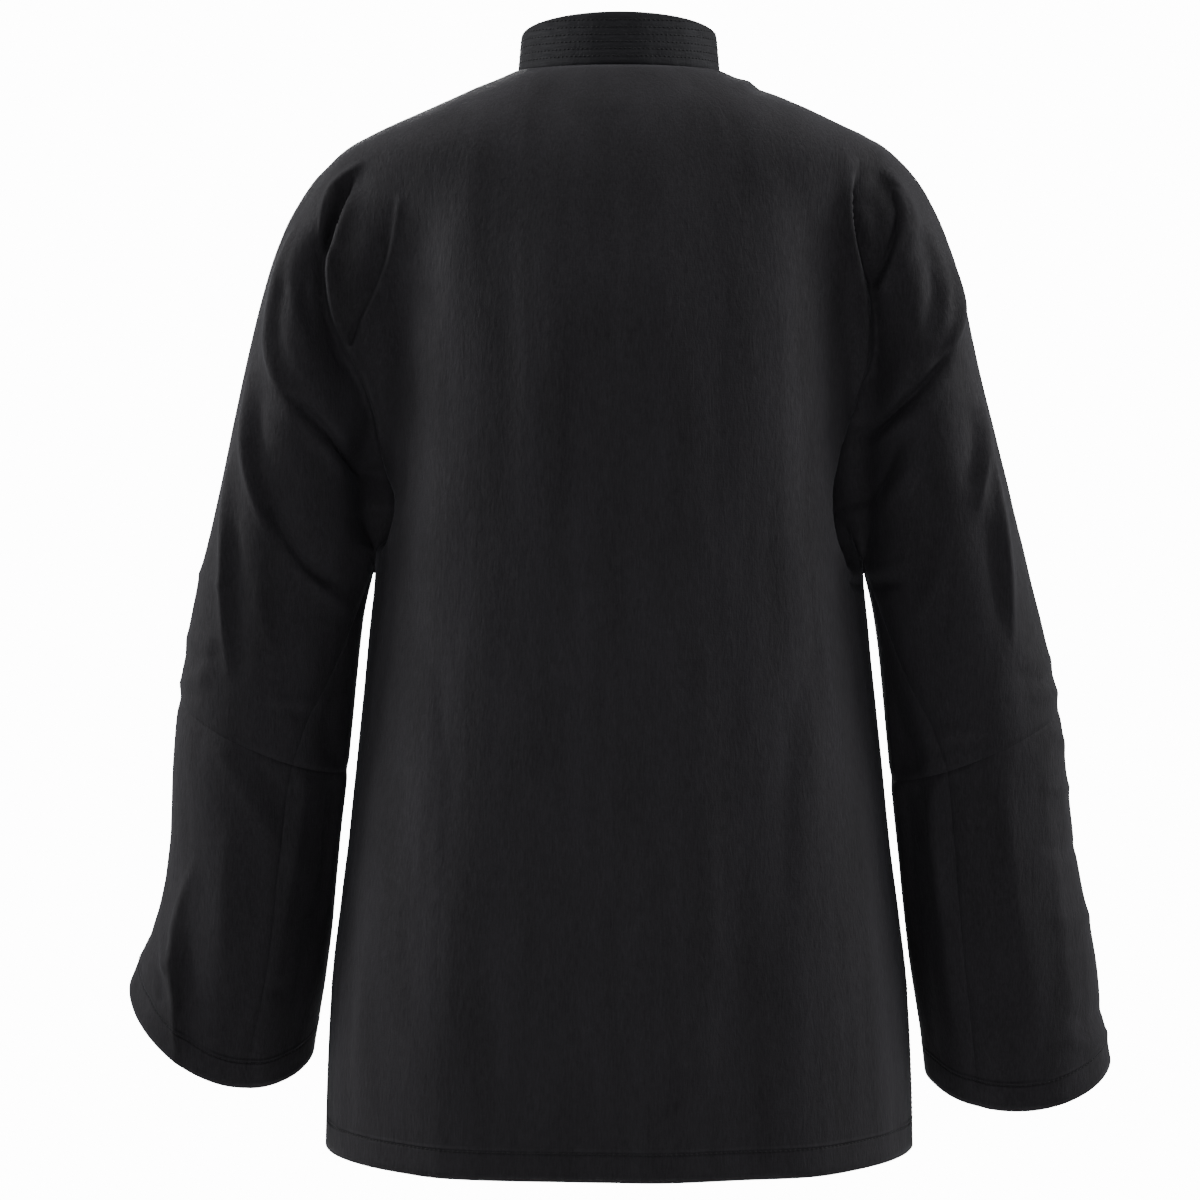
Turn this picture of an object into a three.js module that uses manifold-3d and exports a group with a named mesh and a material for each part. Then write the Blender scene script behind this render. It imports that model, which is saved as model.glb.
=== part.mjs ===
// A kung fu shirt that keeps the shape of a wearer who isn't there. Millimetres, +Z up.
// The wearer faces -Y, so the wearer's left is +X. The origin is the middle of the neck opening, at
// the collar's seam. The cut is the old flat one. Front and back run out into the upper sleeves with
// no armhole seam, and a lower sleeve is sewn on at the elbow. The collar stands, and seven knots and
// loops of rolled cloth close the front. The back is one cut piece, in two nodes that meet at its
// middle, so that the solids used for collision stay clear of the hollow.

import * as THREE from "three";
import { mergeVertices } from "three/addons/utils/BufferGeometryUtils.js";
import Module from "manifold-3d";

const { PI, abs, cos, hypot, max, sign, sin, sqrt } = Math;
const { clamp, degToRad, lerp, smoothstep } = THREE.MathUtils;

const wasm = await Module();
wasm.setup();

// Driving sizes
const CLOTH = 1.6; // wall of a single layer, with its turned edge
const COLLAR_CLOTH = 3; // the collar is two layers over a stiffening
const SEAM_GAP = 0.4; // between two panels at a seam
const BACK = 1;
const FRONT = -1;
const LEFT = 1; // the wearer's left
const RIGHT = -1;
const HEM_Z = -750;
const UNDERARM_Z = -348;
const VENT_TOP_Z = -655; // the side seams end here
const YOKE_RISE = 1.7; // above 1, the rows of the chest and shoulders lie closer towards the top
const NECK_REACH = 0.85; // share of the way from underarm to neck at which the cloth turns in to it
const VENT_OPEN = 5; // how far front and back stand apart at the hem
const SQUARENESS = 2.6; // of the torso's rings, where 2 is an ellipse
const VALLEY_BLEND = 3600; // mm2, how softly torso and sleeve run into each other
const VALLEY = { lowZ: -335, lowFullZ: -250, highFullZ: -110, highZ: -70, fullShare: 0.8, endShare: 0.97 };
const SHOULDER = { torsoZ: -100, sleeveZ: -50 }; // between them the torso widens out into the sleeves
const FOLD_TAPER = 0.25; // share of its lift that a fold keeps at its ends
const FLAT_SQUARE = 1600; // mm2 of squared depth under which folds fade out towards a side
const SLEEVE_SIDE = { from: 0.2, full: 0.7 }; // folds fade in from a sleeve's sides, by the ring's turn
const KEY_STEPS_PER_MM = 50; // places closer than a step of this grid are one place of a seam
const VENT_CURVE = 12; // a high power keeps the opening close to the side edges

// The neck's seam, and the collar that stands on it
const NECK = { halfWidth: 71, back: 60, front: 72, backZ: -9, sideZ: -3, frontZ: -50 };
const COLLAR = {
  topHalfWidth: 68.5,
  topBack: 55,
  topFront: 67,
  topBackZ: 27,
  topSideZ: 20,
  topFrontZ: -13,
  cornerRadius: 16,
};

// How many faces each stretch has
const GRID = {
  halfColumns: 18, // from the middle of the back or front to the side seam
  neckColumns: 6, // those of them that end on the neck
  torsoRows: 10, // hem to underarm
  yokeRows: 16, // underarm to shoulder, and half-way round a sleeve
  upperSleeveColumns: 5, // underarm to elbow
  lowerSleeveRows: 8, // elbow to cuff
  collarRows: 4,
  collarFineColumns: 4, // closer together at each front corner
};

// Torso rings: half-width, and how far the cloth stands from the middle plane behind and in front
const TORSO = [
  { z: -750, halfWidth: 205, back: 137, front: 129 },
  { z: -690, halfWidth: 203.5, back: 134, front: 127 },
  { z: -630, halfWidth: 200.5, back: 130, front: 125 },
  { z: -560, halfWidth: 191, back: 126, front: 123 },
  { z: -470, halfWidth: 182, back: 122, front: 122 },
  { z: -400, halfWidth: 175, back: 120, front: 122 },
  { z: -348, halfWidth: 170, back: 120, front: 122 },
  { z: -250, halfWidth: 166, back: 121, front: 123 },
  { z: -190, halfWidth: 167, back: 119, front: 122 },
  { z: -150, halfWidth: 171, back: 114, front: 117 },
  { z: -100, halfWidth: 182, back: 105, front: 103 },
  { z: -70, halfWidth: 196, back: 97, front: 88 },
  { z: -50, halfWidth: 175, back: 90, front: 72 },
  { z: -38, halfWidth: 149, back: 84, front: 63 },
  { z: -22, halfWidth: 113, back: 73, front: 50 },
  { z: -12, halfWidth: 92, back: 64, front: 41 },
  { z: -9, halfWidth: 84, back: 59, front: 38 },
  { z: -6, halfWidth: 77, back: 44, front: 34 },
  { z: -3, halfWidth: 71, back: 24, front: 25 },
];

// Outer edge of shoulder and sleeve, from the neck down, on each side
const OUTLINE = {
  [LEFT]: [
    { z: -644, x: 348 },
    { z: -618, x: 336.5 },
    { z: -576, x: 321.5 },
    { z: -532, x: 315.5 },
    { z: -476, x: 313 },
    { z: -448, x: 310 },
    { z: -420, x: 306.5 },
    { z: -364, x: 295.5 },
    { z: -308, x: 281.5 },
    { z: -252, x: 269.5 },
    { z: -196, x: 258 },
    { z: -140, x: 243.5 },
    { z: -98, x: 226 },
    { z: -70, x: 207 },
    { z: -56, x: 188 },
    { z: -42, x: 159 },
    { z: -28, x: 127 },
    { z: -14, x: 96 },
    { z: -3, x: 71 },
  ],
  [RIGHT]: [
    { z: -698, x: 351 },
    { z: -676, x: 345 },
    { z: -618, x: 337 },
    { z: -560, x: 324.5 },
    { z: -504, x: 316.5 },
    { z: -448, x: 309.5 },
    { z: -420, x: 303 },
    { z: -364, x: 289 },
    { z: -308, x: 275.5 },
    { z: -252, x: 261.5 },
    { z: -196, x: 248 },
    { z: -140, x: 236 },
    { z: -98, x: 220 },
    { z: -70, x: 202.5 },
    { z: -56, x: 186 },
    { z: -42, x: 157 },
    { z: -28, x: 124 },
    { z: -14, x: 94 },
    { z: -3, x: 71 },
  ],
};

// Inner edge of the sleeve, its depth each way from its own middle, and how far that middle lies forward
const ARM = [
  { z: -720, inner: 219, back: 60, front: 58, forward: 36 },
  { z: -690, inner: 216, back: 60, front: 58, forward: 33 },
  { z: -630, inner: 206, back: 60, front: 58, forward: 25 },
  { z: -560, inner: 198, back: 59, front: 57, forward: 17 },
  { z: -492, inner: 190, back: 58, front: 57, forward: 10 },
  { z: -420, inner: 183, back: 57, front: 57, forward: 4 },
  { z: -370, inner: 176, back: 57, front: 57, forward: 1 },
  { z: -348, inner: 170, back: 58, front: 58, forward: 0 },
  { z: -300, inner: 160, back: 61, front: 60, forward: 0 },
  { z: -250, inner: 148, back: 65, front: 63, forward: 0 },
  { z: -200, inner: 136, back: 68, front: 66, forward: 0 },
  { z: -150, inner: 122, back: 70, front: 68, forward: 0 },
  { z: -112, inner: 105, back: 67, front: 64, forward: 0 },
  { z: -84, inner: 85, back: 52, front: 50, forward: 0 },
  { z: -56, inner: 60, back: 15, front: 15, forward: 0 },
  { z: -45, inner: 55, back: 0, front: 0, forward: 0 },
];

// Rings of the sleeve: 0 at the underarm, 1 at the elbow seam, 2 at the cuff. A ring is higher outside
// than inside. twist turns the underarm seam towards the back. tilt lowers the back of the ring and
// raises its front, as the forearm reaches forward, and sag lowers both.
const SLEEVE = {
  [LEFT]: [
    { ring: 0, innerZ: -348, outerZ: -295, twist: 0, tilt: 0, sag: 0 },
    { ring: 0.5, innerZ: -420, outerZ: -368, twist: 36, tilt: 2, sag: 2 },
    { ring: 1, innerZ: -492, outerZ: -441, twist: 64, tilt: 6, sag: 3 },
    { ring: 1.5, innerZ: -590, outerZ: -538, twist: 68, tilt: 15, sag: 6 },
    { ring: 2, innerZ: -692, outerZ: -643, twist: 71, tilt: 26, sag: 11 },
  ],
  [RIGHT]: [
    { ring: 0, innerZ: -348, outerZ: -295, twist: 0, tilt: 0, sag: 0 },
    { ring: 0.5, innerZ: -424, outerZ: -372, twist: 36, tilt: 2, sag: 1 },
    { ring: 1, innerZ: -498, outerZ: -448, twist: 64, tilt: 5, sag: 2 },
    { ring: 1.5, innerZ: -602, outerZ: -562, twist: 62, tilt: 11, sag: 4 },
    { ring: 2, innerZ: -708, outerZ: -695, twist: 58, tilt: 17, sag: 7 },
  ],
};

// Folds as bent lines over the elevation, from a start by way of a middle to an end: ridges stand out
// and troughs go in
const FOLDS = [
  { face: BACK, side: LEFT, x0: 186, z0: -68, x1: 212, z1: -100, x2: 205, z2: -150, width: 12, lift: 9 },
  { face: BACK, side: LEFT, x0: 186, z0: -88, x1: 197, z1: -114, x2: 193, z2: -165, width: 13, lift: -7 },
  { face: BACK, side: LEFT, x0: 196, z0: -130, x1: 186, z1: -215, x2: 160, z2: -306, width: 13, lift: -13 },
  { face: BACK, side: LEFT, x0: 172, z0: -120, x1: 178, z1: -165, x2: 158, z2: -262, width: 12, lift: 7 },
  { face: BACK, side: LEFT, x0: 227, z0: -111, x1: 262, z1: -200, x2: 188, z2: -268, width: 14, lift: 8 },
  { face: BACK, side: LEFT, x0: 240, z0: -205, x1: 215, z1: -262, x2: 168, z2: -296, width: 13, lift: -8 },
  { face: BACK, side: LEFT, x0: 264, z0: -226, x1: 266, z1: -285, x2: 236, z2: -330, width: 13, lift: 7 },
  { face: BACK, side: LEFT, x0: 250, z0: -300, x1: 236, z1: -338, x2: 205, z2: -362, width: 13, lift: -6 },
  { face: BACK, side: LEFT, x0: 279, z0: -290, x1: 281, z1: -340, x2: 285, z2: -410, width: 12, lift: 6 },
  { face: BACK, side: LEFT, x0: 318, z0: -565, x1: 317, z1: -610, x2: 309, z2: -650, width: 12, lift: 5 },
  { face: BACK, side: RIGHT, x0: 166, z0: -60, x1: 158, z1: -118, x2: 172, z2: -190, width: 12, lift: 6 },
  { face: BACK, side: RIGHT, x0: 178, z0: -80, x1: 176, z1: -134, x2: 179, z2: -190, width: 13, lift: -8 },
  { face: BACK, side: RIGHT, x0: 177, z0: -180, x1: 176, z1: -250, x2: 152, z2: -316, width: 13, lift: -13 },
  { face: BACK, side: RIGHT, x0: 194, z0: -84, x1: 214, z1: -120, x2: 180, z2: -176, width: 12, lift: 9 },
  { face: BACK, side: RIGHT, x0: 231, z0: -118, x1: 255, z1: -190, x2: 190, z2: -244, width: 14, lift: 8 },
  { face: BACK, side: RIGHT, x0: 226, z0: -190, x1: 205, z1: -238, x2: 160, z2: -284, width: 13, lift: -8 },
  { face: BACK, side: RIGHT, x0: 262, z0: -270, x1: 272, z1: -330, x2: 277, z2: -400, width: 12, lift: 6 },
  { face: FRONT, side: LEFT, x0: 182, z0: -76, x1: 196, z1: -150, x2: 166, z2: -290, width: 14, lift: -11 },
  { face: FRONT, side: LEFT, x0: 218, z0: -112, x1: 250, z1: -200, x2: 186, z2: -280, width: 15, lift: 8 },
  { face: FRONT, side: LEFT, x0: 262, z0: -240, x1: 262, z1: -300, x2: 226, z2: -350, width: 14, lift: 6 },
  { face: FRONT, side: RIGHT, x0: 180, z0: -74, x1: 190, z1: -160, x2: 164, z2: -296, width: 14, lift: -11 },
  { face: FRONT, side: RIGHT, x0: 214, z0: -106, x1: 246, z1: -190, x2: 182, z2: -262, width: 15, lift: 8 },
  { face: FRONT, side: RIGHT, x0: 254, z0: -232, x1: 258, z1: -300, x2: 224, z2: -344, width: 14, lift: 6 },
];

// Soft upright waves of the hanging cloth below the shoulder blades: place across, width and height
const WAVES = [
  { face: BACK, x: 118, width: 24, lift: 4 },
  { face: BACK, x: 42, width: 26, lift: -2 },
  { face: BACK, x: -22, width: 24, lift: 2.5 },
  { face: BACK, x: -78, width: 24, lift: -2.5 },
  { face: BACK, x: -128, width: 22, lift: 4 },
  { face: FRONT, x: 112, width: 24, lift: 4 },
  { face: FRONT, x: 68, width: 20, lift: -2.5 },
  { face: FRONT, x: -70, width: 22, lift: -2.5 },
  { face: FRONT, x: -122, width: 24, lift: 4 },
];
const WAVE_TOP_Z = -200;
const WAVE_FULL_Z = -560;

// Knots and loops that close the front, all of one rolled cord
const FROG = {
  count: 7,
  topZ: -70,
  pitch: 91,
  cordRadius: 2.1,
  runSpacing: 4.8, // between the two runs of a bar
  barEnd: 52,
  loopBar: [-36, -22, -13], // further places along the loop's bar, in to its eye
  knotBar: [36, 20, 6], // and along the knot's bar, in under the ball
  knotStem: 3.6, // the bar's two runs meet here
  eyeFrom: -5, // the eye rises from here on
  loopSteps: 20,
  knotSteps: 12,
  ballSides: 8,
  ballRows: 6,
  knotRadius: 5.2,
  knotRise: 6.4,
  eyeRadius: 7.9,
  eyeRise: 4.7, // the eye lies over the knot's stem
  gap: 0.6,
  sides: 6,
};

// Value of a column of a table at a key, on a curve that never overshoots its rows
function read(table, key, at, column) {
  const rows = table[0][key] < table[table.length - 1][key] ? table : [...table].reverse();
  const last = rows.length - 1;
  const slope = (i) => (rows[i + 1][column] - rows[i][column]) / (rows[i + 1][key] - rows[i][key]);
  const tangent = (i) => {
    if (i === 0) return slope(0);
    if (i === last) return slope(last - 1);
    const before = slope(i - 1);
    const after = slope(i);
    return before * after <= 0 ? 0 : (2 * before * after) / (before + after);
  };
  const value = clamp(at, rows[0][key], rows[last][key]);
  let i = 0;
  while (i < last - 1 && rows[i + 1][key] < value) i += 1;
  const span = rows[i + 1][key] - rows[i][key];
  const t = (value - rows[i][key]) / span;
  const startShare = (1 + 2 * t) * (1 - t) ** 2;
  const endShare = t * t * (3 - 2 * t);
  const bend = t * (1 - t) * span;
  return (
    startShare * rows[i][column] +
    endShare * rows[i + 1][column] +
    bend * ((1 - t) * tangent(i) - t * tangent(i + 1))
  );
}

const depthColumn = (face) => (face === BACK ? "back" : "front");

// A point of the neck's seam. turn is 0 at the middle of the back, PI / 2 beside the neck and PI in front.
function neckPoint(turn) {
  const across = sin(turn);
  const along = cos(turn);
  const z = along > 0 ? lerp(NECK.sideZ, NECK.backZ, along) : lerp(NECK.sideZ, NECK.frontZ, along ** 2);
  return new THREE.Vector3(NECK.halfWidth * across, along * (along > 0 ? NECK.back : NECK.front), z);
}

// How far the folds lift the cloth at a place of the elevation
function foldLift(face, side, x, z) {
  let lift = 0;
  const STEPS = 10;
  for (const fold of FOLDS) {
    if (fold.face !== face || fold.side !== side) continue;
    let nearest = Infinity;
    let along = 0;
    for (let i = 0; i <= STEPS; i += 1) {
      const t = i / STEPS;
      const px = (1 - t) ** 2 * fold.x0 + 2 * t * (1 - t) * fold.x1 + t * t * fold.x2;
      const pz = (1 - t) ** 2 * fold.z0 + 2 * t * (1 - t) * fold.z1 + t * t * fold.z2;
      const distance = hypot(x - px, z - pz);
      if (distance < nearest) [nearest, along] = [distance, t];
    }
    const taper = FOLD_TAPER + (1 - FOLD_TAPER) * sin(PI * along);
    lift += fold.lift * taper * Math.exp(-((nearest / fold.width) ** 2));
  }
  return lift;
}

function waveLift(face, x, z) {
  let lift = 0;
  for (const wave of WAVES) {
    if (wave.face === face) lift += wave.lift * Math.exp(-(((x - wave.x) / wave.width) ** 2));
  }
  return lift * (1 - smoothstep(z, WAVE_FULL_Z, WAVE_TOP_Z));
}

// Square of the sleeve's own depth at a place, below nothing outside it
function armSquare(face, side, x, z) {
  const inner = read(ARM, "z", z, "inner");
  const outer = read(OUTLINE[side], "z", z, "x");
  const across = (2 * x - inner - outer) / (outer - inner);
  return read(ARM, "z", z, depthColumn(face)) ** 2 * (1 - across ** 2);
}

function torsoHalfWidth(side, z) {
  const widening = smoothstep(z, SHOULDER.torsoZ, SHOULDER.sleeveZ);
  return lerp(read(TORSO, "z", z, "halfWidth"), read(OUTLINE[side], "z", z, "x"), widening);
}

// Distance of the cloth from the middle plane of torso and shoulders
function bodyDepth(face, side, x, z) {
  const depth = read(TORSO, "z", z, depthColumn(face));
  const torso = depth ** 2 * (1 - (x / torsoHalfWidth(side, z)) ** SQUARENESS);
  let square = torso;
  if (z >= UNDERARM_Z) {
    const arm = armSquare(face, side, x, z);
    const share = x / read(OUTLINE[side], "z", z, "x");
    const above = smoothstep(z, VALLEY.lowZ, VALLEY.lowFullZ);
    const below = 1 - smoothstep(z, VALLEY.highFullZ, VALLEY.highZ);
    const inside = 1 - smoothstep(share, VALLEY.fullShare, VALLEY.endShare);
    const blend = VALLEY_BLEND * above * below * inside;
    square = max(torso, arm);
    if (blend > 0) square += max(blend - abs(torso - arm), 0) ** 2 / (4 * blend);
  }
  const lift = foldLift(face, side, x, z) + waveLift(face, side * x, z);
  return sqrt(max(square, 0)) + lift * smoothstep(square, 0, FLAT_SQUARE);
}

// The shoulder's ridge from the neck to the top of the first sleeve ring, walked by its length
function ridgeWalk(side) {
  const top = NECK.sideZ;
  const foot = SLEEVE[side][0].outerZ;
  const STEPS = 80;
  const stops = [];
  let length = 0;
  for (let i = 0; i <= STEPS; i += 1) {
    const z = lerp(top, foot, i / STEPS);
    const x = read(OUTLINE[side], "z", z, "x");
    if (i > 0) length += hypot(x - stops[i - 1].x, z - stops[i - 1].z);
    stops.push({ length, x, z });
  }
  return (share) => {
    const target = share * length;
    let i = 1;
    while (i < STEPS && stops[i].length < target) i += 1;
    const t = (target - stops[i - 1].length) / (stops[i].length - stops[i - 1].length);
    return { x: lerp(stops[i - 1].x, stops[i].x, t), z: lerp(stops[i - 1].z, stops[i].z, t) };
  };
}
const RIDGE = { [LEFT]: ridgeWalk(LEFT), [RIGHT]: ridgeWalk(RIGHT) };

// A point of the torso below the underarm: u from the middle to the side seam, t from the hem to the underarm
function torsoPoint(face, side, u, t) {
  const z = lerp(HEM_Z, UNDERARM_Z, t);
  const x = torsoHalfWidth(side, z) * sin((u * PI) / 2);
  return new THREE.Vector3(side * x, face * bodyDepth(face, side, x, z), z);
}

// A point of chest, shoulder blade and shoulder. Its four edges are the ring at the underarm, the
// middle, the first sleeve ring, and the neck with the shoulder's ridge. v goes from the underarm up.
function yokePoint(face, side, u, v) {
  const neckShare = GRID.neckColumns / GRID.halfColumns;
  const rise = 1 - (1 - v) ** YOKE_RISE;
  const reach = torsoHalfWidth(side, UNDERARM_Z);
  const turn = face === BACK ? ((u / neckShare) * PI) / 2 : PI - ((u / neckShare) * PI) / 2;
  const onNeck = u <= neckShare;
  const middleTop = face === BACK ? NECK.backZ : NECK.frontZ;
  const outerZ = SLEEVE[side][0].outerZ;
  const corner = { x: read(OUTLINE[side], "z", outerZ, "x"), z: outerZ };
  const top = onNeck ? neckPoint(turn) : RIDGE[side]((u - neckShare) / (1 - neckShare));
  const round = (1 - cos(PI * v)) / 2;
  const patch = (bottom, upper, middle, ring, low, lowOut, high, highOut) =>
    (1 - rise) * bottom +
    rise * upper +
    (1 - u) * middle +
    u * ring -
    (1 - u) * ((1 - rise) * low + rise * high) -
    u * ((1 - rise) * lowOut + rise * highOut);
  const x = patch(
    reach * sin((u * PI) / 2),
    top.x,
    0,
    lerp(reach, corner.x, round),
    0,
    reach,
    0,
    corner.x,
  );
  const z = patch(
    UNDERARM_Z,
    top.z,
    lerp(UNDERARM_Z, middleTop, rise),
    lerp(UNDERARM_Z, corner.z, round),
    UNDERARM_Z,
    UNDERARM_Z,
    middleTop,
    corner.z,
  );
  if (v === 1) return new THREE.Vector3(side * x, onNeck ? top.y : 0, z);
  if (u === 1 && v === 0) return new THREE.Vector3(side * x, 0, z);
  // Near the top the cloth runs up to the neck's own depth
  const step = face * top.y - bodyDepth(face, side, top.x, top.z);
  const depth = bodyDepth(face, side, x, z) + (onNeck ? step * smoothstep(rise, NECK_REACH, 1) : 0);
  return new THREE.Vector3(side * x, face * depth, z);
}

// A point of a sleeve ring. angle is 0 at the underarm seam, PI at the arm's top by way of the back.
function sleevePoint(side, ring, angle) {
  const at = (column) => read(SLEEVE[side], "ring", ring, column);
  const turn = angle + degToRad(at("twist"));
  const share = (1 - cos(turn)) / 2;
  const face = sin(turn) >= 0 ? BACK : FRONT;
  const innerZ = at("innerZ");
  const outerZ = at("outerZ");
  const z = lerp(innerZ, outerZ, share);
  const innerX = read(ARM, "z", innerZ, "inner");
  const outerX = read(OUTLINE[side], "z", outerZ, "x");
  const x = lerp(innerX, outerX, share);
  const depth = lerp(
    read(ARM, "z", innerZ, depthColumn(face)),
    read(ARM, "z", outerZ, depthColumn(face)),
    share,
  );
  const lift = foldLift(face, side, x, z) * smoothstep(abs(sin(turn)), SLEEVE_SIDE.from, SLEEVE_SIDE.full);
  const y = sin(turn) * depth + face * lift - read(ARM, "z", z, "forward");
  const drop = sin(turn) * at("tilt") + sin(turn) ** 2 * at("sag");
  return new THREE.Vector3(side * x, y, z - drop);
}

// A point of a body panel by its column and row, out along the upper sleeve past the last body column
function panelPoint(face, side, column, row) {
  const { halfColumns, torsoRows, yokeRows, upperSleeveColumns } = GRID;
  const v = (row - torsoRows) / yokeRows;
  if (column > halfColumns) {
    return sleevePoint(side, (column - halfColumns) / upperSleeveColumns, face * PI * v);
  }
  if (row < torsoRows) {
    const point = torsoPoint(face, side, column / halfColumns, row / torsoRows);
    const open = 1 - smoothstep(point.z, HEM_Z, VENT_TOP_Z);
    point.y += (face * VENT_OPEN * open * (column / halfColumns) ** VENT_CURVE) / 2;
    return point;
  }
  return yokePoint(face, side, column / halfColumns, v);
}

// A sheet of cloth as points with quads between them
class Sheet {
  constructor() {
    this.points = [];
    this.quads = [];
    this.index = new Map();
  }
  point(name, make) {
    if (!this.index.has(name)) {
      this.index.set(name, this.points.length);
      this.points.push(make());
    }
    return this.index.get(name);
  }
  // Faces of a stretch of columns and rows, wound so that they look out of the garment
  fill(columns, rows, flip, place, make) {
    for (let column = columns[0]; column < columns[1]; column += 1) {
      for (let row = rows[0]; row < rows[1]; row += 1) {
        const corners = [
          [column, row],
          [column + 1, row],
          [column + 1, row + 1],
          [column, row + 1],
        ].map(([c, r]) => this.point(place(c, r), () => make(c, r)));
        this.quads.push(flip ? corners.reverse() : corners);
      }
    }
  }
  // Normals of the points, as sums of the faces round them
  measure() {
    this.normals = this.points.map(() => new THREE.Vector3());
    this.inward = this.points.map(() => new THREE.Vector3());
    for (const quad of this.quads) {
      const [a, b, c, d] = quad.map((i) => this.points[i]);
      const normal = c.clone().sub(a).cross(d.clone().sub(b));
      const middle = a.clone().add(b).add(c).add(d).multiplyScalar(0.25);
      for (const i of quad) {
        this.normals[i].add(normal);
        this.inward[i].add(middle.clone().sub(this.points[i]).normalize());
      }
    }
    this.normals.forEach((normal) => normal.normalize());
  }
}

// Where sheets meet, they get one normal for both and are parted by the seam's gap
function sewTogether(sheets) {
  const places = new Map();
  const keyOf = (p) => [p.x, p.y, p.z].map((value) => Math.round(value * KEY_STEPS_PER_MM)).join();
  for (const sheet of sheets) {
    sheet.measure();
    sheet.points.forEach((p, i) => {
      const key = keyOf(p);
      if (!places.has(key)) places.set(key, []);
      places.get(key).push({ sheet, i });
    });
  }
  for (const shared of places.values()) {
    if (shared.length < 2) continue;
    const normal = new THREE.Vector3();
    for (const { sheet, i } of shared) normal.add(sheet.normals[i]);
    normal.normalize();
    for (const { sheet, i } of shared) {
      sheet.normals[i].copy(normal);
      const inward = sheet.inward[i].addScaledVector(normal, -sheet.inward[i].dot(normal)).normalize();
      sheet.points[i].addScaledVector(inward, SEAM_GAP / 2);
    }
  }
}

// A closed wall: the sheet itself outside, and the sheet moved in by its thickness inside
function wallGeometry(sheet, thickness) {
  const count = sheet.points.length;
  const inner = sheet.points.map((p, i) => p.clone().addScaledVector(sheet.normals[i], -thickness));
  const corners = [...sheet.points, ...inner];
  const faces = [];
  const edges = new Map();
  for (const [a, b, c, d] of sheet.quads) {
    // The quad is cut along the diagonal whose ends face more alike, so that cuts run along the folds
    const alongAC = sheet.normals[a].dot(sheet.normals[c]) >= sheet.normals[b].dot(sheet.normals[d]);
    const halves = alongAC ? [[a, b, c], [a, c, d]] : [[a, b, d], [b, c, d]];
    for (const [i, j, k] of halves) {
      faces.push([i, j, k], [i + count, k + count, j + count]);
    }
    for (const [i, j] of [[a, b], [b, c], [c, d], [d, a]]) {
      if (edges.has(`${j},${i}`)) edges.delete(`${j},${i}`);
      else edges.set(`${i},${j}`, [i, j]);
    }
  }
  for (const [i, j] of edges.values()) {
    faces.push([i, i + count, j + count], [i, j + count, j]);
  }
  const geometry = new THREE.BufferGeometry();
  geometry.setAttribute("position", new THREE.Float32BufferAttribute(corners.flatMap((p) => p.toArray()), 3));
  geometry.setIndex(faces.flat());
  geometry.computeVertexNormals();
  return geometry;
}

// Sheets of the cut pieces
function bodySheet(face, side) {
  const { halfColumns, torsoRows, yokeRows, upperSleeveColumns } = GRID;
  const sheet = new Sheet();
  const place = (column, row) => `${column},${row}`;
  const make = (column, row) => panelPoint(face, side, column, row);
  const flip = face * side === 1;
  const topRow = torsoRows + yokeRows;
  sheet.fill([0, halfColumns], [0, topRow], flip, place, make);
  sheet.fill([halfColumns, halfColumns + upperSleeveColumns], [torsoRows, topRow], flip, place, make);
  return sheet;
}

function lowerSleeveSheet(side) {
  const { yokeRows, lowerSleeveRows } = GRID;
  const sheet = new Sheet();
  const place = (row, step) => `${row},${step}`;
  const make = (row, step) => sleevePoint(side, 1 + row / lowerSleeveRows, (PI * step) / yokeRows);
  sheet.fill([0, lowerSleeveRows], [0, 2 * yokeRows], side === LEFT, place, make);
  return sheet;
}

// The same seam as the panels' straight stretches follow it, and the turns at which a stretch ends
const NECK_STEP = PI / 2 / GRID.neckColumns;
function neckEdge(turn) {
  const step = Math.floor(abs(turn) / NECK_STEP);
  const [before, after] = [step, step + 1].map((k) => neckPoint(sign(turn) * k * NECK_STEP));
  return before.lerp(after, abs(turn) / NECK_STEP - step);
}

// A point of the collar's outside: turn as round the neck, share from its seam to its top edge
function collarPoint(turn, share) {
  const foot = neckEdge(turn);
  const along = cos(turn);
  const topDepth = along > 0 ? COLLAR.topBack : COLLAR.topFront;
  const topEnd = along > 0 ? COLLAR.topBackZ : COLLAR.topFrontZ;
  const top = new THREE.Vector3(
    COLLAR.topHalfWidth * sin(turn),
    along * topDepth,
    lerp(COLLAR.topSideZ, topEnd, along > 0 ? along : along ** 2),
  );
  const toFront = (PI - abs(turn)) * NECK.front;
  const short = max(COLLAR.cornerRadius - toFront, 0);
  const drop = COLLAR.cornerRadius - sqrt(COLLAR.cornerRadius ** 2 - short ** 2);
  const height = foot.distanceTo(top);
  const point = foot.lerp(top, share * (1 - drop / height));
  point.z += SEAM_GAP;
  return point;
}

function collarSheet() {
  const { neckColumns, collarRows, collarFineColumns } = GRID;
  const last = 4 * neckColumns - 1;
  const turns = [];
  for (let i = 0; i < collarFineColumns; i += 1) turns.push(PI - (NECK_STEP * i) / (2 * collarFineColumns));
  for (let k = last; k >= 0; k -= 1) turns.push((k * NECK_STEP) / 2);
  turns[0] -= (0.5 * SEAM_GAP) / NECK.front; // the ends stand apart at the middle front
  const round = [...turns.map((turn) => -turn), ...turns.slice(0, -1).reverse()];
  const sheet = new Sheet();
  const make = (column, row) => collarPoint(round[column], row / collarRows);
  sheet.fill([0, round.length - 1], [0, collarRows], true, (c, r) => `${c},${r}`, make);
  sheet.measure();
  return sheet;
}

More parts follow.
